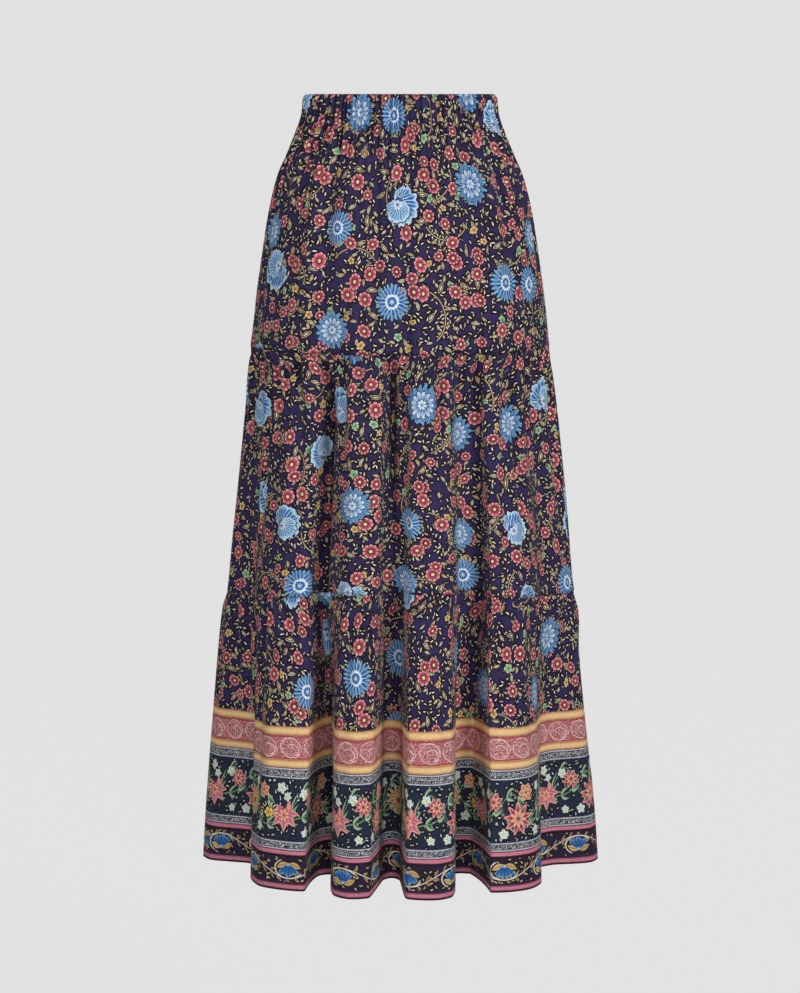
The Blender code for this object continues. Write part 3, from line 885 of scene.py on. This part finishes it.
# All of the floral band's motifs: what draws each, its middle, and its sizes and tints.
FLOWERS = (
    *((white_flower, (u, h), radius) for u, h, radius in WHITE_FLOWERS),
    (star, (34.0, 87.0), 9, 20.0, 0.44, STAR_PINK, PINK_LINE),
    (star, (46.0, 117.0), 6, 11.0, 0.24, ROSE_PEACH, PEACH_LINE),
    (star, (90.0, 99.0), 13, 18.0, 0.38, STAR_GOLD, GOLD_LINE),
    (star, (120.0, 118.0), 6, 9.5, 0.26, ROSE_PEACH, PEACH_LINE),
    (star, (2.0, 108.0), 8, 12.0, 0.40, STAR_PINK, PINK_LINE),
    (lotus, (150.0, 86.0), 17.0),
    (rayed_bud, (128.0, 92.0), 6.2),
)


def floral_band(drawn, u, h):
    """The navy band: a green vine, stars, a lotus, roses, a bud and small white flowers."""
    u = u + FLORAL_SHIFT
    drawn = curling_vine(drawn, u, h, 21.0, 0.5)
    drawn = curling_vine(drawn, u, h, -15.0, 1.6)
    for draw, at, *sizes in FLOWERS:
        drawn = draw(drawn, repeat(u - at[0], FLORAL_REPEAT), h - at[1], at, *sizes)
    return drawn


def palmette(drawn, x, y, on):
    """A blue fan between two gold leaves that lean outward."""
    low = y + 5.0
    away = distance(x, low)
    spread = calc("ARCTAN2", x, low)
    for lean, side, tint in ((1.25, 1.0, ink(192, 156, 98)), (-1.25, -1.0, ink(202, 170, 112))):
        along = x * sin(lean) + low * cos(lean)
        across = x * cos(lean) - low * sin(lean)
        out = along - 6.0
        leaf = lens(out, across + out * out * 0.02 * side, 6.4, 2.6)
        drawn = (drawn.lay(DARK_LINE, inside(leaf - 0.8) * on)
                 .lay(tint, inside(leaf) * on)
                 .lay(ink(110, 74, 40), inside(abs(across) - 0.25) * inside(leaf + 0.6) * on))
    share = away / ((abs(cosine(spread * 4.5)) * 0.14 + 0.86) * 12.5)
    in_fan = within(share) * fade(abs(spread), 0.95, 0.88)
    stripe = abs(sine(spread * 9.0)) * away / 9.0
    tint = (ramp(share, ((0.0, WHITE), (0.3, MID_BLUE), (0.8, ink(58, 110, 174)), (1.0, LIGHT_BLUE)))
            .under(DARK_BLUE, fade(stripe, 0.55, 0.2) * fade(share, 0.2, 0.4)))
    return drawn.lay(tint, in_fan * on)


def vine_band(drawn, u, h):
    """The lowest navy band: a cream vine that loops round blue palmettes with gold leaves."""
    on = between(h, VINE_SPAN)
    off = h - (VINE_MIDDLE + cosine(u * (2 * pi / VINE_REPEAT)) * 10.5)
    line = ink(222, 216, 200)
    sprig_x, sprig_y = repeat(u, 11.0), abs(off) - 3.6
    sprig = lens(sprig_x * 0.7 + sprig_y * 0.7, sprig_y * 0.7 - sprig_x * 0.7, 3.6, 1.2)
    drawn = (drawn.lay(DARK_LINE, fade(abs(off), 2.0, 0.9) * on)
             .lay(line, inside(abs(off) - 0.55) * on)
             .lay(ink(192, 156, 96), inside(sprig) * on)
             .lay(ink(96, 66, 44), inside(sprig + 0.7) * on))
    # One palmette in each half wave, upright above the vine's dip and hanging below its crest.
    x = repeat(u, VINE_REPEAT / 2) / PALMETTE_SIZE
    way = cosine(calc("FLOOR", (u + VINE_REPEAT / 4) / (VINE_REPEAT / 2)) * pi)
    y = ((h - VINE_MIDDLE) * way + 1.5) / PALMETTE_SIZE
    ring = distance(x * 0.72, y * 1.10) - 9.6
    drawn = drawn.lay(line, inside(abs(ring) - 0.45) * fade(y - x * 0.6, -4.0, -2.0) * on)
    return palmette(drawn, x, y, on)


def pink_rail(colour, place, u, h, span):
    """Dots down the middle of a pink stripe, and its darker edges."""
    half = (span[1] - span[0]) / 2
    off = abs(h - sum(span) / 2)
    dots = distance(repeat(u, 2.6), off - half / 2)
    on = between(h, span)
    return (colour.under(ink(240, 160, 160), inside(dots - 0.45))
            .under(ink(158, 66, 94), squiggles(place, 2.2, 0.07) * on * 0.8)
            .under(ink(128, 48, 74), fade(off, half - 1.3, half - 0.6) * on))


def border_ground(h):
    """The border's plain bands. All three of its prints start from them."""
    return ramp(h / BAND_TOP, [(low / BAND_TOP, tint) for low, tint in BORDER_BANDS], "CONSTANT")


def scroll_print(place):
    """The border's top: the rose band between gold stripes. place is mm along and above the hem."""
    u, h = axes(place)
    colour = scroll_band(border_ground(h), place, u, h)
    return gold_stripe(gold_stripe(colour, place, h, LOWER_STRIPE), place, h, UPPER_STRIPE)


def floral_print(place):
    """The border's middle: the floral band between grey ornaments."""
    u, h = axes(place)
    drawn = floral_band(Drawn(border_ground(h), h * 0.0), u, h)
    colour = ornament(drawn.colour, place, u, h, LOWER_ORNAMENT)
    colour = ornament(colour, place, u, h, UPPER_ORNAMENT)
    specks = dash_layer(colour, place, 6.6, 11, 1.7, 0.60, -0.10, FLORAL_SPECKS)
    return colour.under(specks, between(h, FLORAL_SPAN) * (1.0 - drawn.cover))


def hem_print(place):
    """The border's foot: the vine band between pink stripes, down to the hem."""
    u, h = axes(place)
    drawn = vine_band(Drawn(border_ground(h), h * 0.0), u, h)
    colour = pink_rail(drawn.colour, place, u, h, HEM_RAIL)
    colour = pink_rail(colour, place, u, h, UPPER_RAIL)
    specks = dash_layer(colour, place, 7.5, 12, 2.3, 0.9, -0.05, VINE_SPECKS)
    return colour.under(specks, between(h, VINE_SPAN) * (1.0 - drawn.cover))


# How high above the hem each of the border's prints reaches, in m. They are one print on one
# cloth: all of it in a single material is more than Cycles compiles.
BORDER_PRINTS = ((UPPER_STRIPE[1] / 1000, scroll_print), (UPPER_ORNAMENT[1] / 1000, floral_print),
                 (UPPER_RAIL[1] / 1000, hem_print))


# --- Materials -------------------------------------------------------------------------------
REVERSE = 0.45             # how far the print is washed out on the cloth's wrong side
MM = 1000.0                # mm in a metre


def new_material(name, given):
    """A material whose shader has the given inputs."""
    material = bpy.data.materials.new(name)
    material.use_nodes = True
    fill(material.node_tree.nodes["Principled BSDF"], given)
    return material


def cloth_material(name, draw, reverse=0.0):
    """Printed viscose. reverse is how far its colours are washed out, as on the wrong side."""
    material = new_material(name, {"Roughness": 0.80, "Specular IOR Level": 0.18,
                                   "Sheen Weight": 0.04, "Sheen Roughness": 0.5})
    nodes = material.node_tree.nodes
    uv_map = nodes.new("ShaderNodeUVMap")
    uv_map.uv_map = "Print"
    place = vector_calc("MULTIPLY", Num(uv_map.outputs[0]), (MM, MM, 0.0))
    colour = draw(place)
    if reverse:
        colour = colour.under(ink(96, 92, 124), reverse)
    crinkle = noise(vector_calc("MULTIPLY", place, (1.0, 0.35, 0.0)), 5.0, 3.0)
    bump = add_node("ShaderNodeBump", {"Strength": 0.35, "Distance": 0.0012, "Height": crinkle})
    fill(nodes["Principled BSDF"], {"Base Color": colour, "Normal": Num(bump.outputs[0])})
    return material


def plain_material(name, colour, glow=0.0):
    return new_material(name, {"Base Color": (*colour, 1.0), "Roughness": 0.8,
                               "Emission Color": (1.0, 1.0, 1.0, 1.0), "Emission Strength": glow})


def thread_material():
    """Navy thread, mottled along its length."""
    material = plain_material("thread", (0.0, 0.0, 0.0))
    nodes = material.node_tree.nodes
    place = Num(nodes.new("ShaderNodeTexCoord").outputs["Object"])
    mottle = noise(vector_calc("MULTIPLY", place, (MM, MM, MM)), 0.6)
    colour = over(ink(34, 30, 62), ink(66, 60, 104), mottle)
    fill(nodes["Principled BSDF"], {"Base Color": colour})
    return material


# --- Shells ----------------------------------------------------------------------------------
def along_row(points, ring):
    """Steps along rows of points. A ring's last point meets its first."""
    if ring:
        return np.roll(points, -1, axis=-2) - np.roll(points, 1, axis=-2)
    return np.gradient(points, axis=-2)


def plan_outward(points, ring):
    """Level unit vectors that point out of a row of points, square to the row."""
    along = along_row(points, ring)
    return unit(np.stack([along[..., 1], -along[..., 0]], -1))


def grid_normals(points):
    """Unit normals of a grid of points, rows running down and columns round."""
    return unit(np.cross(np.gradient(points, axis=0), along_row(points, False)))


def grid_corners(rows, columns):
    """Row and column of the four corners of each quad in a grid of points, facing out."""
    r, c = np.meshgrid(np.arange(rows - 1), np.arange(columns - 1), indexing="ij")
    r, c = r.ravel(), c.ravel()
    return np.stack([r, r + 1, r + 1, r], -1), np.stack([c, c, c + 1, c + 1], -1)


def add_object(name, data):
    added = bpy.data.objects.new(name, data)
    bpy.context.collection.objects.link(added)
    return added


def add_mesh(name, points, faces, uv_maps, materials):
    """A piece that rides with the skirt. uv_maps are (name, array of faces by corners by 2)."""
    mesh = bpy.data.meshes.new(name)
    mesh.from_pydata(points.tolist(), [], faces.tolist())
    for layer, values in uv_maps:
        uv = mesh.uv_layers.new(name=layer)
        uv.data.foreach_set("uv", np.ascontiguousarray(values, np.float32).ravel())
    mesh.shade_smooth()
    mesh.update()
    for material in materials:
        mesh.materials.append(material)
    piece = add_object(name, mesh)
    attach(piece, "root")
    return piece


# The part of a baked picture's height that each part of a shell takes, from the bottom up.
INSIDE_SHARE = (0.005, 0.195)
OUTSIDE_SHARES = ((0.20, 0.585), (0.59, 0.975))
RIM_SHARE = (0.980, 0.998)
BAKE_MARGIN = 0.004


def bake_area(corner_r, corner_c, rows, columns, share):
    """Where quads lie in a baked picture, in the band between two heights."""
    low, high = share
    width = 1.0 - 2 * BAKE_MARGIN
    u = BAKE_MARGIN + width * (corner_c - corner_c.min()) / (columns - 1)
    v = low + (high - low) * (1.0 - corner_r / (rows - 1))
    return np.stack([u, v], -1)


def make_rims(rows, columns):
    """The quads that join the skins of a shell at its top, bottom, left and right, and their
    places in a baked picture."""
    inner = rows * columns
    top, left = np.arange(columns), np.arange(rows) * columns
    lines = ((top, True), (top + (rows - 1) * columns, False), (left, False), (left + columns - 1, True))
    low, high = RIM_SHARE
    rims = []
    for k, (line, flip) in enumerate(lines):
        quads = np.stack([line[:-1], line[:-1] + inner, line[1:] + inner, line[1:]], -1)
        along = np.linspace(BAKE_MARGIN, 1.0 - BAKE_MARGIN, len(line))
        ways = np.stack([along[:-1], along[:-1], along[1:], along[1:]], -1)
        height = low + (high - low) / len(lines) * (k + np.array([0.1, 0.8, 0.8, 0.1]))
        places = np.stack(np.broadcast_arrays(ways, height), -1)
        rims.append((quads[:, ::-1], places[:, ::-1]) if flip else (quads, places))
    return rims


def make_shell(name, outer, print_u, print_v, thickness, prints, starts):
    """A closed shell of cloth: an outer and an inner skin, joined by four rims.

    outer is a grid of points. prints are pairs of materials, a print and its reverse; each
    pair after the first begins at the row of points given for it in starts.
    """
    rows, columns = outer.shape[:2]
    inner = outer - grid_normals(outer) * thickness[:, None, None]
    points = np.concatenate([outer.reshape(-1, 3), inner.reshape(-1, 3)])
    print_uv = np.stack(np.broadcast_arrays(print_u[None, :], print_v[:, None]), -1)
    print_uv = np.concatenate([print_uv.reshape(-1, 2)] * 2)

    corner_r, corner_c = grid_corners(rows, columns)
    outside = corner_r * columns + corner_c
    reverse = outside[:, ::-1] + rows * columns
    # The outside is baked in two halves, one above the other, so that its print is sharper.
    half = (columns - 1) // 2
    on_left = (corner_c[:, 0] < half)[:, None]
    bake = np.where(on_left[..., None],
                    bake_area(corner_r, corner_c, rows, half + 1, OUTSIDE_SHARES[0]),
                    bake_area(corner_r, corner_c - half * ~on_left, rows, columns - half,
                              OUTSIDE_SHARES[1]))
    bake_reverse = bake_area(corner_r, corner_c, rows, columns, INSIDE_SHARE)[:, ::-1]
    rims, rim_bake = zip(*make_rims(rows, columns))

    faces = np.concatenate([outside, reverse, *rims])
    bake = np.concatenate([bake, bake_reverse, *rim_bake])
    materials = [material for pair in prints[:len(starts) + 1] for material in pair]
    piece = add_mesh(name, points, faces, (("Print", print_uv[faces]), ("OFBake", bake)), materials)
    # Each face's row gives its pair of materials. Only the inner skin has the pair's reverse.
    face_rows = [corner_r[:, 0], corner_r[:, 0], np.zeros(columns - 1), np.full(columns - 1, rows),
                 np.arange(rows - 1), np.arange(rows - 1)]
    kinds = 2 * np.searchsorted(starts, np.concatenate(face_rows), side="right")
    kinds[len(outside):2 * len(outside)] += 1
    piece.data.polygons.foreach_set("material_index", kinds)
    return piece


def thread_angles(tier, first_angle, drop):
    """The angles of a half tier's points, row by row, and the length of its lowest row.

    Each row's points lie evenly along the cloth, so that the print isn't stretched where the
    folds and the long creases turn away.
    """
    fine = np.linspace(first_angle, first_angle + 180.0, FINE_STEPS)[None, :]
    line = plan_point(fine, drop)
    line = line - away_from_middle(line, drop) * crease_depth(fine, drop, tier)[..., None]
    steps = np.linalg.norm(np.diff(line, axis=1), axis=2)
    lengths = np.concatenate([np.zeros((len(drop), 1)), np.cumsum(steps, axis=1)], axis=1)
    shares = np.linspace(0.0, 1.0, tier.columns)
    angles = np.stack([np.interp(shares * row[-1], row, fine[0]) for row in lengths])
    return angles, lengths[-1, -1]


def cloth_grid(tier, angle, below_rows, seed):
    """The outer points of one half of a tier, from the angles of each row's points."""
    drop = (tier.top + below_rows)[:, None]
    base = plan_point(angle, drop)
    turn = turn_at(angle[0], tier.top)[None, :]
    below = below_rows[:, None]
    inward = gather_depth(turn, below, tier.gathers, seed) + crease_depth(angle, drop, tier)
    weaker = NEAR_SEAM * smooth_step(0.0, NEAR_SEAM_REACH, WAVE_START - below)
    calm = smooth_step(0.0, WAVE_START, below) * (1.0 - weaker)
    inward = inward - ripple(turn, drop, seed + 50) * calm
    flat = base - away_from_middle(base, drop) * inward[..., None]
    return np.dstack([flat, np.broadcast_to(seam_height(angle, drop), inward.shape)])


ROW_CROWDING = 1.35        # above 1, rows lie closer together near the seam


def make_tier_half(tier, half, first_angle, prints, thread):
    """One side of a tier, from its top seam to its bottom seam or hem."""
    at_hem = tier.bottom == HEM
    gap_top = SEAM_GAP if tier.top == BAND_HEIGHT else SEAM_GAP / 2
    gap_bottom = 0.0 if at_hem else SEAM_GAP / 2
    length = tier.bottom - tier.top
    below = gap_top + (length - gap_top - gap_bottom) * np.linspace(0.0, 1.0, tier.rows) ** ROW_CROWDING
    starts = []
    if at_hem:
        # A row is moved onto the top edge of each of the border's prints.
        for reach, _ in BORDER_PRINTS:
            starts.append(int(np.argmin(abs(below - (length - reach)))))
            below[starts[-1]] = length - reach
    angles, width = thread_angles(tier, first_angle, (tier.top + below)[:, None])
    outer = cloth_grid(tier, angles, below, 100 * (1 + TIERS.index(tier)))
    height = length - below
    thickness = CLOTH + HEM_EXTRA * at_hem * (height < HEM_TURN)
    print_u = tier.u + np.linspace(0.0, width, tier.columns) + BACK_SHIFT * (half == "back")
    piece = make_shell(f"{tier.name}_{half}_cloth", outer, print_u, tier.v + height, thickness,
                       prints, starts)
    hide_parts(f"{tier.name}_{half}")
    sewn = ()
    if at_hem:
        row = int(np.argmin(abs(height - HEM_TURN)))
        sewn = (add_stitches(f"hem_stitches_{half}", outer[row], grid_normals(outer)[row], thread),)
    round(length + SEAM_ALLOWANCE, 3)
    return piece


# --- Sewing ----------------------------------------------------------------------------------
STITCH = 0.0027
STITCH_GAP = 0.0007
# Along a stitch: share of its length, how far it stands out of the cloth, and its radius.
STITCH_RINGS = ((0.0, -0.0001, 0.00006), (0.25, 0.00012, 0.0002), (0.75, 0.00012, 0.0002),
                (1.0, -0.0001, 0.00006))
# A stitch's faces, from the 16 points of its four rings of four.
STITCH_FACES = [(4 * r + t, 4 * r + 4 + t, 4 * r + 4 + (t + 1) % 4, 4 * r + (t + 1) % 4)
                for r in range(3) for t in range(4)] + [(0, 1, 2, 3), (15, 14, 13, 12)]


def add_stitches(name, path, outward, material):
    """Thread along a row of points, with both ends of each stitch sunk in the cloth."""
    lengths = np.concatenate([[0.0], np.cumsum(np.linalg.norm(np.diff(path, axis=0), axis=1))])
    starts = np.arange(STITCH_GAP, lengths[-1] - STITCH, STITCH + STITCH_GAP)

    def at(values, places):
        return np.stack([np.interp(places, lengths, values[:, k]) for k in range(3)], -1)

    start, end = at(path, starts), at(path, starts + STITCH)
    out = unit(at(outward, starts + STITCH / 2))
    side = unit(np.cross(end - start, out))
    points = []
    for share, lift, radius in STITCH_RINGS:
        centre = start + (end - start) * share + out * lift
        points += [centre + (side * np.cos(a) + out * np.sin(a)) * radius
                   for a in (0.0, pi / 2, pi, 3 * pi / 2)]
    points = np.stack(points, 1)
    faces = (np.arange(len(starts))[:, None, None] * 16 + np.array(STITCH_FACES)).reshape(-1, 4)
    # Each face is baked in a cell of its own.
    across = int(np.ceil(np.sqrt(len(faces))))
    cell = np.stack([np.arange(len(faces)) % across, np.arange(len(faces)) // across], -1)
    corners = np.array([(0.1, 0.1), (0.9, 0.1), (0.9, 0.9), (0.1, 0.9)])
    bake = (cell[:, None, :] + corners) / across
    return add_mesh(name, points.reshape(-1, 3), faces, (("OFBake", bake),), [material])


# --- Waistband -------------------------------------------------------------------------------
BAND_EDGE = 0.004          # how far down the fold over the elastic begins
EDGE_DEPTH = 0.0035        # how deep that fold is
EDGE_GATHERS = 0.4         # how much less of the gathers shows at its end
INSIDE_GATHERS = 0.55      # how much of the gathers shows on the inside
BAND_MARGIN = 0.005        # round the band's place in a baked picture


def band_section():
    """The casing's section, from the outer bottom edge over the top to the inner bottom edge:
    drop, depth inward from the outer face, and the share of the gathers that shows."""
    outside = [(d, 0.0, 1.0) for d in np.linspace(BAND_HEIGHT, BAND_EDGE, 14)]
    arc = [(BAND_EDGE - BAND_EDGE * np.sin(t), EDGE_DEPTH * (1 - np.cos(t)) * 0.5,
            1.0 - EDGE_GATHERS * t / pi) for t in np.linspace(0.2, pi - 0.2, 7)]
    inside_face = [(d, BAND_WALL, INSIDE_GATHERS) for d in np.linspace(BAND_EDGE, BAND_HEIGHT, 7)]
    return np.array(outside + arc + inside_face)


def make_waistband(material):
    """The casing: a closed ring whose section is folded over at the top.

    Also returns the row of points for its stitches and the level directions out of it.
    """
    lengths = arc_lengths(BAND_HEIGHT / 2)
    angles = np.interp(np.linspace(0.0, lengths[-1], BAND_COLUMNS + 1), lengths, FINE_ANGLES)[:-1]
    turn = turn_at(angles, BAND_HEIGHT / 2)[None, :]
    profile = band_section()
    drop, inward, share = (profile[:, k][:, None] for k in range(3))
    base = plan_point(angles[None, :], drop)
    gathers = gather_depth(turn, np.zeros_like(drop), BAND_GATHERS, 100)
    inward = inward + BAND_LEAN * np.clip(1.0 - drop / BAND_CORNER, 0.0, 1.0) ** 2
    depth = inward + share * gathers
    flat = base - plan_outward(base, True) * depth[..., None]
    grid = np.dstack([flat, np.broadcast_to(BAND_HEIGHT / 2 - drop, depth.shape)])
    rows, columns = grid.shape[:2]
    corner_r, corner_c = grid_corners(rows + 1, columns + 1)
    faces = ((corner_r % rows) * columns + corner_c % columns)[:, ::-1]
    # The print runs on from the yoke: each half of the band has its yoke's width of print.
    middle = BAND_COLUMNS // 2
    lengths = arc_lengths(YOKE_SEAM)
    front, whole = np.interp((SIDE_SEAM, FINE_ANGLES[-1]), FINE_ANGLES, lengths)
    on_back = corner_c[:, :1] >= middle
    print_u = TIERS[0].u + np.where(on_back, BACK_SHIFT + (corner_c / middle - 1.0) * (whole - front),
                                    corner_c / middle * front)
    way = np.concatenate([[0.0], np.cumsum(np.hypot(np.diff(profile[:, 0]), np.diff(profile[:, 1])))])
    way = np.append(way, way[-1] + BAND_WALL)
    print_v = TIERS[0].v + YOKE_SEAM - BAND_HEIGHT + way
    print_uv = np.stack([print_u, print_v[corner_r]], -1)[:, ::-1]
    places = np.stack([corner_c / columns, corner_r / rows], -1)[:, ::-1]
    bake = places * (1.0 - 2 * BAND_MARGIN) + BAND_MARGIN
    piece = add_mesh("waistband_casing", grid.reshape(-1, 3), faces,
                     (("Print", print_uv), ("OFBake", bake)), [material])
    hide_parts("waistband")
    row = np.concatenate([grid[1], grid[1, :1]])
    return piece, row, np.column_stack([plan_outward(row[:, :2], False), np.zeros(len(row))])


# --- Studio ----------------------------------------------------------------------------------
CAMERA_AT = (0.0, -3.322, 0.02)
CAMERA_PITCH = atan(402.5 / 2758.0)     # down from level
LENS = 100.0                            # mm, on a 36 mm sensor
CLEAR_DISTANCE = 100.0
FLOOR = -1.30
STAGE_RADIUS = 9.0
STAGE_CURVE = 4.0
STAGE_TURNS = 96
PAPER = (0.01, 0.01, 0.01)
PAPER_GLOW = 0.747
WORLD_COLOUR = (0.97, 0.985, 1.0, 1.0)
WORLD_STRENGTH = 0.15
SOFTBOX_SIZE = 1.3
SOFTBOX_TARGET = (0.0, 0.0, -0.45)
# Place and watts: from the left, from the right, and a weak one beside the camera.
SOFTBOXES = (((-3.0, -2.7, 0.9), 56.0), ((2.6, -3.1, 1.1), 107.0), ((0.25, -4.1, 0.7), 49.0))


def make_camera():
    data = bpy.data.cameras.new("camera")
    data.lens = LENS
    data.sensor_width = 36.0
    data.clip_end = CLEAR_DISTANCE
    camera = add_object("camera", data)
    camera.location = CAMERA_AT
    camera.rotation_euler = (pi / 2 - CAMERA_PITCH, 0.0, 0.0)
    bpy.context.scene.camera = camera


def make_stage():
    """A pale floor that curves up into a wall all the way round."""
    level = STAGE_RADIUS - STAGE_CURVE
    profile = [(level, 0.0)] + [(level + STAGE_CURVE * np.sin(t), STAGE_CURVE * (1 - np.cos(t)))
                                for t in np.linspace(0.1, pi / 2, 16)]
    turns = 2 * pi * np.arange(STAGE_TURNS) / STAGE_TURNS
    points = [(0.0, 0.0, FLOOR)] + [(out * np.cos(a), out * np.sin(a), FLOOR + up)
                                    for out, up in profile for a in turns]
    sides = [(1 + k, 1 + (k + 1) % STAGE_TURNS) for k in range(STAGE_TURNS)]
    faces = [(0, a, b) for a, b in sides]
    for r in range(len(profile) - 1):
        here, there = r * STAGE_TURNS, (r + 1) * STAGE_TURNS
        faces += [(a + here, a + there, b + there, b + here) for a, b in sides]
    mesh = bpy.data.meshes.new("studio_floor")
    mesh.from_pydata(points, [], faces)
    mesh.shade_smooth()
    mesh.materials.append(plain_material("studio_paper", PAPER, PAPER_GLOW))
    floor = add_object("studio_floor", mesh)
    floor.visible_diffuse = False
    floor.visible_shadow = False
    floor.visible_glossy = False


def make_light():
    world = bpy.data.worlds.new("studio")
    world.use_nodes = True
    fill(world.node_tree.nodes["Background"], {"Color": WORLD_COLOUR, "Strength": WORLD_STRENGTH})
    bpy.context.scene.world = world
    for place, power in SOFTBOXES:
        data = bpy.data.lights.new("softbox", "AREA")
        data.size = SOFTBOX_SIZE
        data.energy = power
        light = add_object("softbox", data)
        light.location = place
        aim = Vector(SOFTBOX_TARGET) - Vector(place)
        light.rotation_euler = aim.to_track_quat("-Z", "Y").to_euler()
    bpy.context.scene.view_settings.view_transform = "Standard"


# --- The skirt -------------------------------------------------------------------------------
def build():
    prints = [(cloth_material(f"viscose_{draw.__name__}", draw),
               cloth_material(f"viscose_{draw.__name__}_reverse", draw, REVERSE))
              for draw in (main_print, *(draw for _, draw in BORDER_PRINTS))]
    thread = thread_material()
    band, row, outward = make_waistband(prints[0][0])
    stitches = add_stitches("casing_stitches", row, outward, thread)
    for tier in TIERS:
        for half, first_angle in (("front", -SIDE_SEAM), ("back", SIDE_SEAM)):
            piece = make_tier_half(tier, half, first_angle, prints, thread)


make_camera()
make_stage()
make_light()
build()
